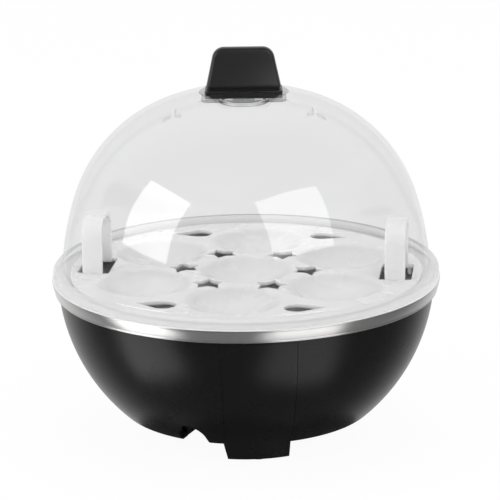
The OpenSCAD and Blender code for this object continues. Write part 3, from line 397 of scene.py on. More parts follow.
# floor, world and lamps
room = {
    "floorSize": 12,
    "floorTone": (0.86, 0.86, 0.86),
    "floorGlow": 0.95,       # share of plain white that the floor shows, also through the lid
    "floorMirror": 0.75,     # the same share in reflections, behind the cooker
    "floorFront": 0.05,      # and in front of it, where the room is darker
    "floorPolish": 0.85,     # how much of the lamps the floor hands on to gloss and metal
    "worldFill": 0.72,       # light from all round
    "backMirror": 1.0,       # white behind, as reflections see it
    "frontMirror": 0.16,     # the darker room in front
    "backStart": 0.1,        # how far backwards a direction points where the white starts
    "aim": 0.08,             # height above the table that the lamps point at
    "lamps": {
        # direction from the front, rise, distance, width, height, strength, seen in reflections
        "leftBox": (-73, 26, 1.5, 0.95, 0.98, 3.4, True),
        "rightBox": (31, 32, 1.6, 1.2, 1.1, 2.2, True),
        "topBox": (150, 72, 1.6, 1.4, 1.4, 1.4, False),
    },
}
white = (1, 1, 1, 1)


def seenRays(finish):
    # rays that see the room directly or through the lid, and rays that see it in a reflection
    camera, glossy, passing = finish.node("LightPath", out=(
        "Is Camera Ray", "Is Glossy Ray", "Is Transmission Ray"))
    return finish.maths("MAXIMUM", camera, passing), glossy


def frontShare(finish, spot):
    # 1 in front of the cooker and beside it, 0 behind it
    way = finish.node("VectorMath", {0: spot}, operation="NORMALIZE")
    backwards = finish.node("SeparateXYZ", {0: way}, out="Y")
    return finish.node("MapRange", {"Value": backwards, "From Min": room["backStart"],
                                    "From Max": 1.0, "To Min": 1.0, "To Max": 0.0},
                       interpolation_type="SMOOTHSTEP")


def buildFloor():
    deselectAll()
    bpy.ops.mesh.primitive_plane_add(size=room["floorSize"], location=(0, 0, 0))
    floor = bpy.context.object
    floor.name = floor.data.name = "floor"
    finish = Finish("floorPaint")
    seen, mirrored = seenRays(finish)
    front = frontShare(finish, finish.node("TexCoord", out="Object"))
    tint = finish.mix(finish.noise(3, 2), shadeOf(room["floorTone"], 0.99), room["floorTone"])
    matt = finish.node("BsdfPrincipled", {"Base Color": tint, "Roughness": 0.9,
                                          "Specular IOR Level": 0.1})
    glow = finish.node("Emission", {"Color": white, "Strength": 1.0})
    polish = finish.node("BsdfAnisotropic", {"Color": (*[room["floorPolish"]] * 3, 1),
                                             "Roughness": 0.12})
    gap = room["floorMirror"] - room["floorFront"]
    plain = finish.blend(seen * room["floorGlow"], matt, glow)
    tone = finish.blend(room["floorMirror"] - gap * front, polish, glow)
    floor.data.materials.append(finish.close(finish.blend(mirrored, plain, tone)))


def buildWorld():
    world = bpy.data.worlds.new("room")
    bpy.context.scene.world = world
    finish = Finish("room", world)
    seen, mirrored = seenRays(finish)
    front = frontShare(finish, finish.node("TexCoord", out="Generated"))
    gap = room["backMirror"] - room["frontMirror"]
    mirror = room["backMirror"] - gap * front
    fill = finish.node("Background", {"Color": white, "Strength": room["worldFill"]})
    back = finish.node("Background", {"Color": white,
                                      "Strength": 1.0 - mirrored * (1.0 - mirror)})
    finish.close(finish.blend(finish.maths("MAXIMUM", seen, mirrored), fill, back))


def buildLamps():
    for name, (turn, rise, away, width, height, strength, mirrored) in room["lamps"].items():
        lamp = bpy.data.lights.new(name, "AREA")
        lamp.shape, lamp.size, lamp.size_y = "RECTANGLE", width, height
        lamp.energy = strength * math.pi * width * height
        holder = bpy.data.objects.new(name, lamp)
        bpy.context.collection.objects.link(holder)
        a, e = math.radians(turn), math.radians(rise)
        spot = Vector((math.sin(a) * math.cos(e), -math.cos(a) * math.cos(e), math.sin(e))) * away
        holder.location = spot + Vector((0, 0, room["aim"]))
        holder.rotation_euler = (-spot).to_track_quat("-Z", "Y").to_euler()
        holder.visible_camera = False
        holder.visible_glossy = mirrored


buildFloor()
buildWorld()
buildLamps()
print("room and lamps placed")

# plastics and rubber: colour, then what differs from moulded's usual values
plastics = {
    "satinBlack": {"colour": (0.0125, 0.0125, 0.0125), "rough": 0.36, "spread": 0.12,
                   "grain": 0.010, "grainScale": 1400, "shine": 0.4},
    "glossBlack": {"colour": (0.0048, 0.0048, 0.0049), "rough": 0.27, "spread": 0.06,
                   "grain": 0.003, "grainScale": 700, "shine": 0.23},
    "mattBlack": {"colour": (0.016, 0.016, 0.017), "rough": 0.55, "spread": 0.12,
                  "grain": 0.02, "grainScale": 1600, "shine": 0.4},
    "padRubber": {"colour": (0.035, 0.035, 0.036), "rough": 0.8, "spread": 0.12,
                  "grain": 0.03, "grainScale": 1100, "shine": 0.3},
    "trayWhite": {"colour": (0.825, 0.825, 0.822), "rough": 0.27, "spread": 0.06,
                  "grain": 0.004, "grainScale": 500, "mottle": 0.012, "shine": 0.6,
                  "Subsurface Weight": 0.8, "Subsurface Scale": 0.003,
                  "Subsurface Radius": (1.0, 1.0, 0.98)},
    "glandRubber": {"colour": (0.028, 0.028, 0.028), "rough": 0.7, "grain": 0.02, "shine": 0.35},
    "sealSilicone": {"colour": (0.50, 0.07, 0.04), "rough": 0.5},
    "brownResin": {"colour": (0.10, 0.045, 0.025), "rough": 0.45},
    "fuseCase": {"colour": (0.62, 0.60, 0.52), "grain": 0.006},
    "blockWhite": {"colour": (0.68, 0.67, 0.62), "rough": 0.5, "grain": 0.008, "mottle": 0.03},
    "leadLive": {"colour": (0.22, 0.07, 0.03), "rough": 0.5, "grain": 0.006},
    "leadNeutral": {"colour": (0.04, 0.10, 0.34), "rough": 0.5, "grain": 0.006},
    "leadEarth": {"colour": (0.20, 0.34, 0.06), "rough": 0.5, "grain": 0.006},
    "rockerRed": {"colour": (0.42, 0.012, 0.010), "rough": 0.3, "spread": 0.06,
                  "grain": 0.004, "grainScale": 800},
}
metals = {
    # painted light: the shelf is lighter and less metallic than the brushed band, to brighten it in
    # the flange's shade
    "ringShelf": {"colour": (0.85, 0.85, 0.85), "rough": 0.5, "spread": 0.1, "scale": 90,
                  "mottle": 0.03, "Metallic": 0.38},
    "dishSteel": {"colour": (0.60, 0.56, 0.58), "rough": 0.4, "scale": 60},
    "zincSteel": {"colour": (0.55, 0.56, 0.57), "rough": 0.38, "scale": 300},
    "castAluminium": {"colour": (0.60, 0.60, 0.61), "rough": 0.5, "scale": 220, "grain": 0.02},
    "elementSheath": {"colour": (0.20, 0.17, 0.15), "rough": 0.55, "scale": 180, "grain": 0.01},
    "brass": {"colour": (0.66, 0.50, 0.24), "rough": 0.32, "scale": 260},
}
# clear plastic: light let through straight on and at the edge, how fast that falls, shine
clears = {
    "lidClear": {"face": 0.925, "rim": 0.865, "rise": 2.5, "gloss": 0.072, "edgeGloss": 0.5},
    # the wall's inner side adds little
    "lidInner": {"face": 0.99, "rim": 0.975, "rise": 3.0, "gloss": 0.008, "edgeGloss": 0.05},
    # corners and thick places
    "lidThick": {"face": 0.93, "rim": 0.30, "rise": 2.2, "gloss": 0.06, "edgeGloss": 0.5},
}
# each noise is its scale and detail, and its roughness where that isn't the usual 0.5
clearGloss = {"rough": 0.035, "spread": 0.03, "noise": (40, 4), "wave": 0.02,
              "waveNoise": (14, 3), "edgePower": 5.0, "coolFace": 0.002, "coolRim": 0.004}
brushed = {"dark": (0.50, 0.495, 0.49), "light": (0.68, 0.675, 0.67), "rough": 0.24,
           "spread": 0.12, "lineNoise": (160, 6, 0.7), "lineShare": 0.7, "cloudNoise": (30, 4),
           "stretch": 40, "waver": 0.02, "waverNoise": (5, 2), "grain": 0.004,
           "alongLines": 0.75}
# passing is the share of light that goes through the milky part, cover the milky part's share; the
# milky part is painted light on the clear flange
paintedMilky = {"dark": (0.60, 0.60, 0.60), "light": (0.68, 0.68, 0.68), "noise": (24, 3),
           "rough": 0.16, "spread": 0.1, "glossNoise": (50, 4), "shine": 0.35, "wave": 0.02,
           "waveNoise": (30, 3), "passing": 0.55, "cover": 0.66, "edgeCover": 0.2}


def clearPlastic(name, face, rim, rise, gloss, edgeGloss):
    # light passes, edges darken, gloss grows towards the edge
    finish, g = Finish(name), clearGloss
    edge = finish.facing()
    through = finish.blend(edge ** rise, finish.clear(face, g["coolFace"]),
                           finish.clear(rim, g["coolRim"]))
    shine = finish.node("BsdfPrincipled", {
        "Base Color": (0.92, 0.92, 0.92, 1), "Metallic": 1.0,
        "Roughness": g["rough"] + g["spread"] * finish.noise(*g["noise"]),
        "Normal": finish.bump(finish.noise(*g["waveNoise"]), g["wave"])})
    return finish.close(finish.blend(gloss + edgeGloss * edge ** g["edgePower"], through, shine))


def brushedRing(name):
    # circular brushing: fine lines that run round the ring
    finish, b = Finish(name), brushed
    spot = finish.node("TexCoord", out="Object")
    x, y, z = finish.node("SeparateXYZ", {0: spot}, out=("X", "Y", "Z"))
    radius, waver = (x * x + y * y) ** 0.5, finish.noise(*b["waverNoise"]) * b["waver"]
    rings = finish.node("CombineXYZ", {"X": radius * b["stretch"], "Y": z * b["stretch"],
                                       "Z": waver})
    lines, share = finish.noise(*b["lineNoise"], rings), b["lineShare"]
    mask = lines * share + finish.noise(*b["cloudNoise"]) * (1 - share)
    return finish.close(finish.node("BsdfPrincipled", {
        "Base Color": finish.mix(mask, b["dark"], b["light"]), "Metallic": 1.0,
        "Roughness": b["rough"] + b["spread"] * lines,
        "Anisotropic": b["alongLines"], "Anisotropic Rotation": 0.25,
        "Normal": finish.bump(lines, b["grain"], 0.5)}))


def paintedMilkyEdge(name):
    # the lid's rolled edge: light caught inside the clear plastic makes it look milky, and that is
    # painted here as a pale milky colour
    finish, f = Finish(name), paintedMilky
    # painted light: the pale diffuse colour stands in for the brightness of the clear flange
    milky = finish.node("BsdfPrincipled", {
        "Base Color": finish.mix(finish.noise(*f["noise"]), f["dark"], f["light"]),
        "Roughness": f["rough"] + f["spread"] * finish.noise(*f["glossNoise"]),
        "Specular IOR Level": f["shine"],
        "Normal": finish.bump(finish.noise(*f["waveNoise"]), f["wave"])})
    passing = finish.node("BsdfTranslucent", {"Color": (0.95, 0.95, 0.95, 1)})
    body = finish.blend(f["passing"], milky, passing)
    cover = f["cover"] + f["edgeCover"] * finish.facing()
    return finish.close(finish.blend(cover, finish.clear(0.97), body))


finishes = {"ringSteel": brushedRing("brushedRing"), "lidFlange": paintedMilkyEdge("lidFlange")}
for make, looks in ((moulded, plastics), (metal, metals), (clearPlastic, clears)):
    for name, look in looks.items():
        finishes[name] = make(name, **look)
print("materials made")


def dress(piece, finishName, body, slot, *nodes):
    piece.data.materials.clear()
    piece.data.materials.append(finishes[finishName])
    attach(piece, body)
    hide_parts(*nodes)


def heightsOf(node):
    # lowest and highest point of one of the frame's pieces, in millimetres
    return [round(corner.z / mm, 2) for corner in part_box(node)]


# what several pieces are fitted to, in millimetres
cooker = {"ballRadius": 83.5, "ballCentre": 74.0, "ringFlare": 2.8, "shelfWidth": 11.5,
          "lidHeight": 83.9}
bowlLow, bowlTop = heightsOf("bowl_housing")
bowlEdge = math.sqrt(cooker["ballRadius"] ** 2 - (cooker["ballCentre"] - bowlTop) ** 2)
ringRadius = bowlEdge + cooker["ringFlare"]
shelfInner = ringRadius - cooker["shelfWidth"]
shelfTop = heightsOf("rim_ring")[1]
lidLow = heightsOf("lid_dome")[0]
lidTop = lidLow + cooker["lidHeight"]

# lid dome
lid = {
    "turn": -6.2, "low": lidLow, "foot": lidLow + 4.3, "top": lidTop, "wall": 2.0,
    "flangeRadius": ringRadius - 0.6, "domeRadius": ringRadius - 4.6, "skirtRise": 0.6,
    "steps": 224, "smallSteps": 96,
    "creaseRound": 0.8, "lipRound": 1.2, "footRound": 0.35, "underRound": 0.5, "skirtRound": 0.4,
    "sideRadius": 126, "shoulderRadius": 66.6, "crownRadius": 102, "lean": 3.6,
    "pocketLow": lidTop - 3.5, "pocketWidth": 34, "pocketDepth": 14.8, "pocketWall": 1.4,
    "pocketCorner": 2, "wallCorner": 3, "wallHeight": 6, "wallCover": 0.4,
    "capLow": lidTop - 16.6, "middle": 60,
    "collarRadius": 11, "collarThick": 1.4, "collarLow": lidTop - 6.4, "collarTop": lidTop - 4.6,
    "collarRound": 0.3, "hookSlot": (3.6, 7.4), "hookPlace": 6.5,
    "ventRing": 36.6, "ventAngle": 33, "ventArm": 5.2, "ventWidth": 1.5, "ventTwist": 12,
    "ventCorner": 0.7, "ventOverlap": 0.4, "ventCut": (lidTop - 26.6, 30),
}


def domeArcs(inset):
    # the crown, shoulder and side arcs from the pole down to the foot, moved in by inset
    lean = math.radians(lid["lean"])
    side = Vector((lid["domeRadius"] - lid["sideRadius"] * math.cos(lean),
                   lid["foot"] - lid["sideRadius"] * math.sin(lean)))
    crown = Vector((0, lid["top"] - lid["crownRadius"]))
    # the shoulder's centre lies where it touches both of the other arcs
    gap = (crown - side).length
    way = (crown - side) / gap
    toSide = lid["sideRadius"] - lid["shoulderRadius"]
    toCrown = lid["crownRadius"] - lid["shoulderRadius"]
    along = (toSide ** 2 - toCrown ** 2 + gap ** 2) / (2 * gap)
    off = math.sqrt(toSide ** 2 - along ** 2)
    shoulder = side + along * way + off * Vector((-way.y, way.x))
    sideEnd = math.degrees(math.atan2(shoulder.y - side.y, shoulder.x - side.x))
    crownStart = math.degrees(math.atan2(shoulder.y - crown.y, shoulder.x - crown.x))
    foot = math.degrees(math.asin((lid["foot"] - side.y) / (lid["sideRadius"] - inset)))
    line = arc(crown, lid["crownRadius"] - inset, 90, crownStart, 16)
    line += arc(shoulder, lid["shoulderRadius"] - inset, crownStart, sideEnd, 30)[1:]
    line += arc(side, lid["sideRadius"] - inset, sideEnd, foot, 16)[1:]
    line[0] = (0, line[0][1])
    return line


def domeShell():
    outer, inner = domeArcs(0), domeArcs(lid["wall"])
    r, d, wall = lid["flangeRadius"], lid["domeRadius"], lid["wall"]
    low, foot = lid["low"], lid["foot"]
    skirt, above = low + lid["skirtRise"], foot + 6
    crease, lip, rest, under, edge = (lid[k + "Round"] for k in (
        "crease", "lip", "foot", "under", "skirt"))
    flange = softened([(d + 0.3, above), (d, foot, crease), (r, foot, lip), (r, low, rest),
                       (r - wall, low, rest), (r - wall, foot - wall, under),
                       (d, foot - wall, under), (d, skirt, edge), (d - wall, skirt, edge),
                       (d - wall, above)], 4)[1:-1]
    return turned("lidDome", outer[:-1] + flange + inner[::-1][1:], lid["steps"], closed=False)


def addPocket(dome):
    # the pocket for the handle's foot, kept under the dome's surface, and the collar below it
    low, wall, steps = lid["pocketLow"], lid["pocketWall"], lid["smallSteps"]
    width, depth = lid["pocketWidth"], lid["pocketDepth"]
    under = domeArcs(lid["wallCover"])[:24]
    cap = turned("cap", under + [(under[-1][0], lid["capLow"]), (0, lid["capLow"])], steps)
    walls = block("walls", width + 2 * wall, depth + 2 * wall, lid["wallHeight"],
                  (0, 0, low - wall), lid["wallCorner"])
    cut(walls, cap, "INTERSECT")
    cut(dome, walls, "UNION")
    r, t, edge = lid["collarRadius"], lid["collarThick"], lid["collarRound"]
    foot, top = lid["collarLow"], lid["collarTop"]
    collar = turned("collar", softened([(r - t, foot, edge), (r, foot, edge), (r, top),
                                        (r - t, top)], 3), steps)
    cut(dome, collar, "UNION")
    cut(dome, block("space", width, depth, 2 * lid["wallHeight"], (0, 0, low),
                    lid["pocketCorner"]))


def ventArms(side):
    # a steam vent is three narrow arms from one middle
    length, (low, height) = lid["ventArm"], lid["ventCut"]
    a = math.radians(-90 + side * (90 - lid["ventAngle"]))
    place = (lid["ventRing"] * math.cos(a) * mm, lid["ventRing"] * math.sin(a) * mm, 0)
    for turn in (90, 210, 330):
        arm = block("arm", length, lid["ventWidth"], height,
                    (length / 2 - lid["ventOverlap"], 0, low), lid["ventCorner"], 4)
        spin = Matrix.Rotation(math.radians(turn + side * lid["ventTwist"]), 4, "Z")
        arm.data.transform(Matrix.Translation(place) @ spin)
        yield arm


def lidFinish(centre, normal):
    # which of the dome's finishes a face takes, by its place and the way it faces
    x, y, z = (c / mm for c in centre)
    away = math.hypot(x, y)
    slack = lid["pocketWall"] + near
    inPocket = (abs(x) < lid["pocketWidth"] / 2 + slack and abs(y) < lid["pocketDepth"] / 2 + slack
                and z > lid["pocketLow"] - slack)
    inCollar = away < lid["collarRadius"] + near and lid["collarLow"] - near < z < lid["collarTop"]
    if inPocket or inCollar:
        return "lidThick"
    belowFoot = z < lid["foot"] + 0.1
    onLip = z > lid["foot"] - 0.5 or away > lid["flangeRadius"] - 0.3
    if belowFoot and onLip and away > lid["domeRadius"] + 0.3:
        return "lidFlange"
    # a face that points towards the dome's middle is on the inner side
    outward = normal.x * x + normal.y * y + normal.z * (z - lid["middle"])
    return "lidInner" if outward < 0 or belowFoot else "lidClear"


def buildDome():
    dome = domeShell()
    addPocket(dome)
    slotLow = lid["pocketLow"] - lid["pocketWall"] - 0.8
    for side in (-1, 1):
        cut(dome, block("slot", *lid["hookSlot"], 3, (side * lid["hookPlace"], 0, slotLow), 0.3, 2))
        for arm in ventArms(side):
            cut(dome, arm)
    smooth(dome, 30)
    dress(dome, "lidClear", "lid", "clear_lid", "lid_dome")
    order = ["lidClear", "lidInner", "lidThick", "lidFlange"]
    for name in order[1:]:
        dome.data.materials.append(finishes[name])
    for face in dome.data.polygons:
        face.material_index = order.index(lidFinish(face.center, face.normal))
    turnPiece(dome, lid["turn"])


buildDome()
print("lid dome made")

# lid handle
handle = {
    "low": lidTop + 0.6, "top": lidTop + 17.85, "width": 32.6, "topWidth": 25.2, "thick": 9,
    "topThick": 5.8, "corner": 5.2, "roundIn": 1.4, "roundOut": 3.5, "thinFrom": 1.5,
    # height over the tab's foot, and how far front and back are moved out there to a small bead
    "levels": ((1.7, 0), (1.0, 0.3), (0.5, 0.2)),
    "neckWidth": 31.4, "neckThick": 8, "neckHeight": 4.4, "neckLift": 0.5, "neckCorner": 1.2,
    "footWidth": 33.6, "footThick": 14.4, "footHeight": 3.2, "footCorner": 1.8, "footSoft": 0.4,
}


def tabBlank():
    # the front outline laid flat, its two faces stepped inwards to a rounded edge
    h = handle
    low, top, below = h["low"], h["top"], 3.0
    narrow, wide = h["topWidth"] / 2, h["width"] / 2
    wide += (h["width"] - h["topWidth"]) / 2 / (top - low) * below
    outline = softened([(-wide, low - below), (wide, low - below), (narrow, top, h["corner"]),
                        (-narrow, top, h["corner"])], 10)
    side = h["thick"] / 2 - h["roundOut"]
    tab = slab("lidHandle", outline, 2 * side, -side)
    steps = 6
    angles = [math.radians(90 / steps * i) for i in range(steps + 1)]
    for sign in (-1, 1):
        markFaces(tab, lambda c, n: n.z * sign > 0.9 and abs(c.z) > side * mm * 0.9)
        edit(tab, "FACE")
        for a, b in zip(angles, angles[1:]):
            bpy.ops.mesh.inset(thickness=h["roundIn"] * (math.cos(a) - math.cos(b)) * mm,
                               depth=h["roundOut"] * (math.sin(b) - math.sin(a)) * mm)
        closeEdit()
    return tab


def levelCut(piece, height, **settings):
    edit(piece)
    selectMesh()
    bpy.ops.mesh.bisect(plane_co=(0, 0, height * mm), plane_no=(0, 0, 1), **settings)
    closeEdit()


def buildHandle():
    h = handle
    tab = tabBlank()
    tab.data.transform(Matrix.Rotation(math.radians(90), 4, "X"))
    levelCut(tab, h["low"], clear_inner=True, use_fill=True)
    # thinned towards the top
    thinFrom = h["low"] + h["thinFrom"]
    for vertex in tab.data.vertices:
        share = max(0, (vertex.co.z / mm - thinFrom) / (h["top"] - thinFrom))
        vertex.co.y *= 1 - share * (1 - h["topThick"] / h["thick"])
    for level, move in h["levels"]:
        levelCut(tab, h["low"] + level)
    for level, move in h["levels"]:
        for vertex in tab.data.vertices:
            if abs(vertex.co.z / mm - h["low"] - level) < 0.02:
                share = min(1, abs(vertex.co.y) / (2 * mm))
                vertex.co.y += math.copysign(move * mm, vertex.co.y) * share
    edit(tab)
    faceOutwards()
    closeEdit()
    pocket = lid["pocketLow"]
    neck = block("neck", h["neckWidth"], h["neckThick"], h["neckHeight"],
                 (0, 0, pocket + h["neckLift"]), h["neckCorner"])
    foot = block("foot", h["footWidth"], h["footThick"], h["footHeight"], (0, 0, pocket),
                 h["footCorner"])
    softEdges(foot, h["footSoft"])
    cut(tab, neck, "UNION")
    cut(tab, foot, "UNION")
    turnPiece(tab, lid["turn"])
    smooth(tab, 35)
    dress(tab, "satinBlack", "lid", "black_satin", "lid_handle")


buildHandle()
print("lid handle made")

# egg tray
ribLow = heightsOf("egg_tray")[0]
tray = {
    "turn": -13.3, "radius": shelfInner + 3.5, "low": ribLow + 3, "top": ribLow + 4.8,
    "ribLow": ribLow, "ribOuter": shelfInner - 0.6, "ribWall": 1.6,
    "cupPitch": 47.7, "cupRadius": 19, "cupDepth": 7, "cupWall": 1.6,
    "rimSoft": 4.2, "underSoft": 1.0, "rings": 84, "steps": 240,
    "starRadius": 7.6, "starInner": 4.5, "starRing": 27.54, "starTip": 0.25, "starNotch": 0.5,
    "holeFlare": 0.12, "flareDepth": 1.2,
    "dropPlace": (28.5, 57), "dropRadius": 5.6, "dropLength": 12.5, "dropLean": 10,
    "holeInner": 59.8, "holeWidth": 14.2, "holeLength": 25,
    "holeCorner": 0.8, "gripWidth": 9, "gripThick": 2.2, "gripHeight": 24, "gripCorner": 9,
    "gripSoft": 0.55, "gripRoot": 1.8, "gripOverlap": 0.6,
}


def cupDip(away, radius, depth):
    # height of a cup's round floor below the tray's top, at a distance from the cup's middle
    curve = (radius ** 2 + depth ** 2) / (2 * depth)
    return -depth + curve - math.sqrt(max(curve ** 2 - min(away, radius + 3) ** 2, 0.0))


def softLow(a, b, reach):
    # the lower of two heights, with a soft change from one to the other
    h = max(reach - abs(a - b), 0) / reach
    return min(a, b) - h * h * reach / 4


def starOutline(grow):
    corners = []
    for i in range(10):
        size, corner = (("starRadius", "starTip"), ("starInner", "starNotch"))[i % 2]
        r, a = tray[size] + grow, math.radians(36 * i)
        corners.append((r * math.cos(a), r * math.sin(a), tray[corner]))
    return softened(corners, 3)


def dropOutline(grow):
    r, length = tray["dropRadius"] + grow, tray["dropLength"] + grow * 1.6
    touch = math.degrees(math.acos(r / length))
    return arc((0, 0), r, touch, 360 - touch, 30) + [(length, 0)]


def throughTool(name, shape):
    # a cutter whose top flares out, so that the hole's edge comes out chamfered
    flat, wide = shape(0), shape(tray["holeFlare"] * 4)
    tool = slab(name, flat, 6, tray["low"] - 4)
    depth = tray["flareDepth"]
    mouth = slab("mouth", flat, depth, tray["top"] - tray["holeFlare"] * depth)
    high = max(v.co.z for v in mouth.data.vertices)
    upper = [v for v in mouth.data.vertices if v.co.z > high - 1e-6]
    for (x, y), (wx, wy) in zip(flat, wide):
        v = min(upper, key=lambda v: (v.co.x - x * mm) ** 2 + (v.co.y - y * mm) ** 2)
        v.co.x, v.co.y = wx * mm, wy * mm
    cut(tool, mouth, "UNION")
    return tool


def placed(tool, turn, x, y, flipX=1, flipY=1):
    tool.data.transform(Matrix.Diagonal((flipX, flipY, 1, 1))
                        @ Matrix.Translation((x * mm, y * mm, 0))
                        @ Matrix.Rotation(math.radians(turn), 4, "Z"))
    if flipX * flipY < 0:
        tool.data.flip_normals()
    return tool


def trayPlate():
    # a disc of fine rings with the rib below it, whose top and underside are pressed into cups
    t = tray
    top, low, edge = t["top"], t["low"], t["radius"]
    ribOut, ribIn, ribLow = t["ribOuter"], t["ribOuter"] - t["ribWall"], t["ribLow"]
    rings = [i * (edge - 1.0) / t["rings"] for i in range(t["rings"] + 1)]
    outline = [(r, top) for r in rings]
    outline += softened([(edge - 3, top), (edge, top, 0.7), (edge, low, 0.5), (edge - 3, low)],
                        3)[1:-1]
    outline += softened([(ribOut + 2, low), (ribOut, low, 0.3), (ribOut, ribLow, 0.4),
                         (ribIn, ribLow, 0.4), (ribIn, low, 0.3), (ribIn - 2, low)], 3)[1:-1]
    outline += [(r, low) for r in reversed(rings) if r < ribIn - 0.8]
    plate = turned("eggTray", outline, t["steps"], closed=False)
    cups = [(0, 0)] + [(t["cupPitch"] * math.cos(math.radians(30 + 60 * k)),
                        t["cupPitch"] * math.sin(math.radians(30 + 60 * k))) for k in range(6)]
    radius, depth, wall = t["cupRadius"], t["cupDepth"], t["cupWall"]
    for vertex in plate.data.vertices:
        x, y, z = (c / mm for c in vertex.co)
        if math.hypot(x, y) > ribIn - 0.5:
            continue
        away = min(math.hypot(x - cx, y - cy) for cx, cy in cups)
        if z > (top + low) / 2:
            vertex.co.z = softLow(top, top + cupDip(away, radius, depth), t["rimSoft"]) * mm
        elif away < radius + wall:
            under = top + cupDip(away, radius + wall, depth + wall)
            vertex.co.z = softLow(low, under, t["underSoft"]) * mm
    return plate


def trayHoles():
    # the stars between the cups, the four drops and the two holes under the grips
    t = tray
    tools = []
    star = throughTool("star", starOutline)
    for k in range(6):
        tools.append(placed(copyOf(star, "starTool"), 0, t["starRing"], 0))
        turnPiece(tools[-1], 60 * k)
    drop = throughTool("drop", dropOutline)
    for fx, fy in ((-1, -1), (-1, 1), (1, -1), (1, 1)):
        tools.append(placed(copyOf(drop, "dropTool"), -t["dropLean"], *t["dropPlace"], fx, fy))
    discard(star, drop)
    for turn in (0, 180):
        hole = block("hole", t["holeWidth"], t["holeLength"], 12,
                     (t["holeInner"] + t["holeWidth"] / 2, 0, t["low"] - 6), t["holeCorner"], 3)
        turnPiece(hole, turn)
        tools.append(hole)
    return joined("tools", *tools)


def trayGrip(turn):
    # an arch of flat strip over a hole, drawn flat, then stood up across the tray
    t = tray
    thick, width, corner = t["gripThick"], t["gripWidth"], t["gripCorner"]
    half, high = t["holeLength"] / 2 + t["gripOverlap"], t["gripHeight"] + t["gripRoot"]
    inHalf, inHigh, inCorner = half - thick, high - thick, corner - thick
    strip = slab("grip", softened([(-half, 0), (-half, high, corner), (half, high, corner),
                                   (half, 0), (inHalf, 0), (inHalf, inHigh, inCorner),
                                   (-inHalf, inHigh, inCorner), (-inHalf, 0)], 10),
                 width, -width / 2)
    softEdges(strip, t["gripSoft"])
    foot = Vector((t["holeInner"] + t["holeWidth"] / 2, 0, t["low"])) * mm
    strip.data.transform(Matrix.Translation(foot) @ Matrix.Rotation(math.radians(90), 4, "Z")
                         @ Matrix.Rotation(math.radians(90), 4, "X"))
    turnPiece(strip, turn)
    return strip


def buildTray():
    plate = trayPlate()
    cut(plate, trayHoles())
    for turn in (0, 180):
        cut(plate, trayGrip(turn), "UNION")
    turnPiece(plate, tray["turn"])
    smooth(plate, 32)
    dress(plate, "trayWhite", "tray", "tray_white", "egg_tray", "egg_cups")


buildTray()
print("egg tray made")

# rim ring
ring = {
    "top": shelfTop, "low": bowlTop, "brim": ringRadius, "inner": shelfInner, "sheet": 1.2,
    "bandTop": shelfTop - 0.75, "bandLow": (84.9, 67.7), "bulge": 0.12,
    "hem": (84.3, 67.25), "hemRadius": 0.62, "steps": 256,
    "lugTurns": (-30, 90, 210), "lugWidth": 8, "lugDrop": 4.6, "lugReach": 2.8,
}


def ringLug(turn):
    # a small hook that holds the ring on the bowl's edge
    g = ring
    sheet, drop, reach = g["sheet"], g["lugDrop"], g["lugReach"]
    lug = slab("lug", softened([(0, 0), (sheet, 0), (sheet, -drop, 0.6), (-reach, -drop, 0.3),
                                (-reach, sheet - drop, 0.3), (0, sheet - drop, 0.4)], 3),
               g["lugWidth"], -g["lugWidth"] / 2)
    lug.data.transform(Matrix.Translation(Vector((g["inner"], 0, g["low"] + 0.2)) * mm)
                       @ Matrix.Rotation(math.radians(90), 4, "X"))
    turnPiece(lug, turn)
    return lug


def buildRing():
    g = ring
    brim, sheet, inner, top = g["brim"], g["sheet"], g["inner"], g["top"]
    start, end = Vector((brim, g["bandTop"])), Vector(g["bandLow"])
    out = Vector((start.y - end.y, end.x - start.x)).normalized()
    steps = [i / 10 for i in range(11)]
    band = [tuple(start.lerp(end, t) + out * g["bulge"] * 4 * t * (1 - t)) for t in steps]
    bandBack = [(x - sheet, z) for x, z in band[9:0:-1]]
    hem = arc(g["hem"], g["hemRadius"], 40, -200, 10)
    shelf = softened([(inner, g["low"], 0.2), (inner, top, 0.6), (brim, top, 0.7),
                      (brim, top - 1.6)], 4)[:-1]
    under = [(brim - sheet - 0.25, top - sheet), (inner + sheet, top - sheet),
             (inner + sheet, g["low"])]
    piece = turned("rimRing", shelf + band + hem + bandBack + under, g["steps"])
    for turn in g["lugTurns"]:
        cut(piece, ringLug(turn), "UNION")
    smooth(piece, 40)
    dress(piece, "ringSteel", "base", "ring_steel", "rim_ring")
    # the level shelf that the lid stands on is satin, not brushed, and painted lighter than the
    # band: painted light where the flange shades it
    piece.data.materials.append(finishes["ringShelf"])
    for face in piece.data.polygons:
        if face.normal.z > 0.7 and face.center.z / mm > top - 0.3:
            face.material_index = 1


buildRing()
print("rim ring made")

# bowl and feet
bowl = {
    "radius": cooker["ballRadius"], "centre": cooker["ballCentre"], "low": bowlLow,
    "top": bowlTop, "wall": 3.0, "ledgeInner": shelfInner - 4.5, "ledgeThick": 3,
    "plateRadius": 51.14, "plateThick": 2.4,
    "strapThick": 2.0, "seam": 0.15, "notchRadius": 6.25, "notchMiddle": 3.75, "notchTurn": -120,
    "switchHeight": 40, "steps": 288,
    # width, height, corner, distance from the ball's middle, length of the switch's two cuts
    "switchCuts": ((17.4, 23.8, 2.1, 81.1, 9), (13.8, 20.2, 1, 70, 20)),
}
feet = {
    "turns": (-90, 30, 150), "topWidth": 32.7, "midWidth": 28.7, "footWidth": 26.8,
    "lean": (-2.0, -4.1), "outer": 44.0, "depth": 11.0, "lift": 0.6, "edge": 0.5,
    "padRadius": 4.8, "padThick": 2.0, "screwRing": 38.5, "screwRadius": 3.8, "screwDepth": 2.2,
    "strapPlay": 0.05, "padPlay": 0.15,
}


def heightAngle(z, radius):
    return math.degrees(math.asin((z - bowl["centre"]) / radius))


def ballArc(radius, low, high, steps):
    # a line on a ball round the bowl's middle, from one height to another
    return arc((0, bowl["centre"]), radius, heightAngle(low, radius), heightAngle(high, radius),
               steps)


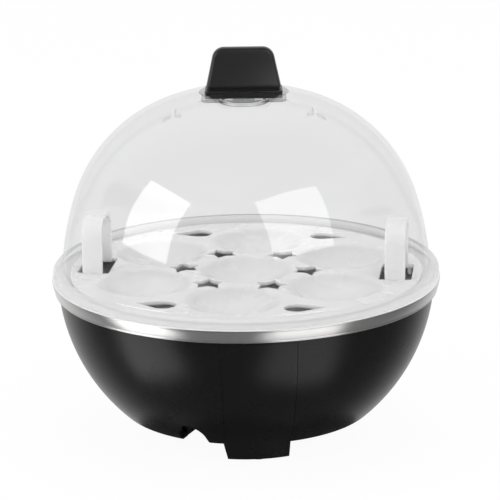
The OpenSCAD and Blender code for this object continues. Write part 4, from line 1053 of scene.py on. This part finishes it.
def strapWedge(grow):
    # flat outline of a strap seen from outside, pulled out from the axis
    a, b, c = (feet[k] / 2 + grow for k in ("footWidth", "midWidth", "topWidth"))
    low, high = bowl["low"], bowl["top"]
    mid, end = feet["lean"]
    points = [(-a, -2), (a, -2), (a, 0), (b + mid, low), (c + end, high), (c + end, high + 3),
              (-c + end, high + 3), (-c + end, high), (-b + mid, low), (-a, 0)]
    wedge = slab("wedge", points, 100)
    wedge.data.transform(facingOut)
    return wedge


def bowlShell():
    b = bowl
    low, top, inside = b["low"], b["top"], b["radius"] - b["wall"]
    ledge, floor, seat = top - b["ledgeThick"], low + b["plateThick"], b["plateRadius"] + 0.1
    outer = ballArc(b["radius"], low + 0.5, top, 44)
    inner = ballArc(inside, ledge, floor, 36)
    return turned("bowlHousing", [(outer[0][0] - 0.7, low)] + outer
                  + [(b["ledgeInner"], top), (b["ledgeInner"], ledge)] + inner
                  + [(seat, floor), (seat, low)], b["steps"])


def strapSeat(turn):
    # the shallow bed of a strap in the bowl's surface
    b = bowl
    outside, inside = b["radius"] + 1.5, b["radius"] - b["strapThick"]
    low, top = b["low"] - 3, b["top"] + 2
    band = turned("band", ballArc(outside, low, top, 40) + ballArc(inside, top, low, 40), 32,
                  sweep=44)
    cut(band, strapWedge(b["seam"]), "INTERSECT")
    turnPiece(band, turn)
    return band


def cordNotch():
    b = bowl
    r, low = b["notchRadius"], b["low"]
    notch = slab("notch", [(-r, low - 1), (r, low - 1)]
                 + arc((0, low + b["notchMiddle"]), r, 0, 180, 24), 95)
    notch.data.transform(facingOut)
    turnPiece(notch, b["notchTurn"])
    return notch


def buildBowl():
    b = bowl
    shell = bowlShell()
    for turn in feet["turns"]:
        cut(shell, strapSeat(turn))
    cut(shell, cordNotch())
    # recess and window for the switch, square to the bowl's back
    tilt = math.degrees(math.asin((b["centre"] - b["switchHeight"]) / b["radius"]))
    towardsBack = (Matrix.Translation((0, 0, b["centre"] * mm)) @ Matrix.Rotation(math.pi, 4, "Z")
                   @ Matrix.Rotation(math.radians(90 + tilt), 4, "X"))
    for width, height, corner, start, length in b["switchCuts"]:
        tool = block("recess", width, height, length, (0, 0, start), corner, 4)
        tool.data.transform(towardsBack)
        cut(shell, tool)
    smooth(shell, 30)
    dress(shell, "glossBlack", "base", "black_gloss", "bowl_housing")


def footStrap():
    # one strap with its foot, facing along X, with a recess for the pad and the screw
    b, f = bowl, feet
    inner = f["outer"] - f["depth"]
    far = Vector((f["outer"], f["lift"] - b["centre"]))
    tangent = math.degrees(math.atan2(far.y, far.x) + math.acos(b["radius"] / far.length))
    strapIn = b["radius"] - b["strapThick"] + f["strapPlay"]
    outline = arc((0, b["centre"]), b["radius"], heightAngle(b["top"], b["radius"]), tangent, 40)
    outline += [(f["outer"], f["lift"]), (inner, f["lift"]), (inner, b["low"])]
    outline += ballArc(strapIn, b["low"], b["top"], 40)
    foot = turned("foot", outline, 40, sweep=60)
    cut(foot, strapWedge(0), "INTERSECT")
    softEdges(foot, f["edge"], 38)
    r, deep = f["padRadius"] + f["padPlay"], f["padThick"] + f["screwDepth"]
    recess = turned("recess", softened([(0, -1), (r, -1), (r, f["padThick"], 0.2),
                                        (f["screwRadius"], f["padThick"]),
                                        (f["screwRadius"], deep), (0, deep)], 2), 48)
    recess.data.transform(Matrix.Translation((f["screwRing"] * mm, 0, 0)))
    cut(foot, recess)
    smooth(foot, 35)
    return foot


def footPad():
    r, thick = feet["padRadius"], feet["padThick"]
    pad = turned("pad", softened([(0, 0), (r - 0.5, 0, 0.1), (r, 0.5, 0.3), (r, thick, 0.2),
                                  (0, thick)], 3), 48)
    pad.data.transform(Matrix.Translation((feet["screwRing"] * mm, 0, 0)))
    smooth(pad, 40)
    return pad


def buildFeet():
    foot, pad = footStrap(), footPad()
    pads = []
    for turn, name, node in zip(feet["turns"],
                                ("footFrontStrap", "footRightStrap", "footLeftStrap"),
                                ("leg_front", "leg_right", "leg_left")):
        dress(copyOf(foot, name, turn), "glossBlack", "base", "black_gloss", node)
        pads.append(copyOf(pad, "padCopy", turn))
    discard(foot, pad)
    dress(joined("footPads", *pads), "padRubber", "base", "pad_rubber", "foot_pads")


buildBowl()
buildFeet()
print("bowl and feet made")

# water dish
dishLow, dishTop = heightsOf("heating_dish")
dish = {"wallRadius": 64.0, "sheet": 1.0, "low": dishLow, "top": dishTop,
        "flange": shelfInner - 0.2, "corner": 6.0, "lip": 0.8, "edge": 0.3, "underLip": 1.0,
        "steps": 192}


def buildDish():
    d = dish
    wall, sheet, low, top, corner = (d[k] for k in ("wallRadius", "sheet", "low", "top", "corner"))
    outline = softened([(0, low + sheet), (wall - sheet, low + sheet, corner - sheet),
                        (wall - sheet, top, d["lip"]), (d["flange"], top, d["edge"]),
                        (d["flange"], top - sheet, d["edge"]), (wall, top - sheet, d["underLip"]),
                        (wall, low, corner), (0, low)], 6)
    piece = turned("heatingDish", outline, d["steps"], closed=False)
    smooth(piece, 40)
    dress(piece, "dishSteel", "base", "dish_steel", "heating_dish")


buildDish()
print("water dish made")

# finishes of the frame's own pieces, by material slot
kept = {
    "black_matte": "mattBlack", "switch_black": "mattBlack", "black_gloss": "glossBlack",
    "black_satin": "satinBlack", "pad_rubber": "padRubber", "gland_rubber": "glandRubber",
    "seal_silicone": "sealSilicone", "brown_resin": "brownResin", "fuse_case": "fuseCase",
    "block_white": "blockWhite", "tray_white": "trayWhite", "rocker_red": "rockerRed",
    "lead_live": "leadLive", "lead_neutral": "leadNeutral", "lead_earth": "leadEarth",
    "zinc_steel": "zincSteel", "dish_steel": "dishSteel", "ring_steel": "ringSteel",
    "aluminium": "castAluminium", "element_sheath": "elementSheath", "brass": "brass",
    "clear_lid": "lidClear",
}


def dressKept():
    for part in frame["record"]["subparts"]:
        node = frame["nodes"][part["node"]]
        node.data.materials.clear()
        node.data.materials.append(finishes[kept[part["material_slot"]]])


dressKept()
print("kept pieces dressed")

deselectAll()
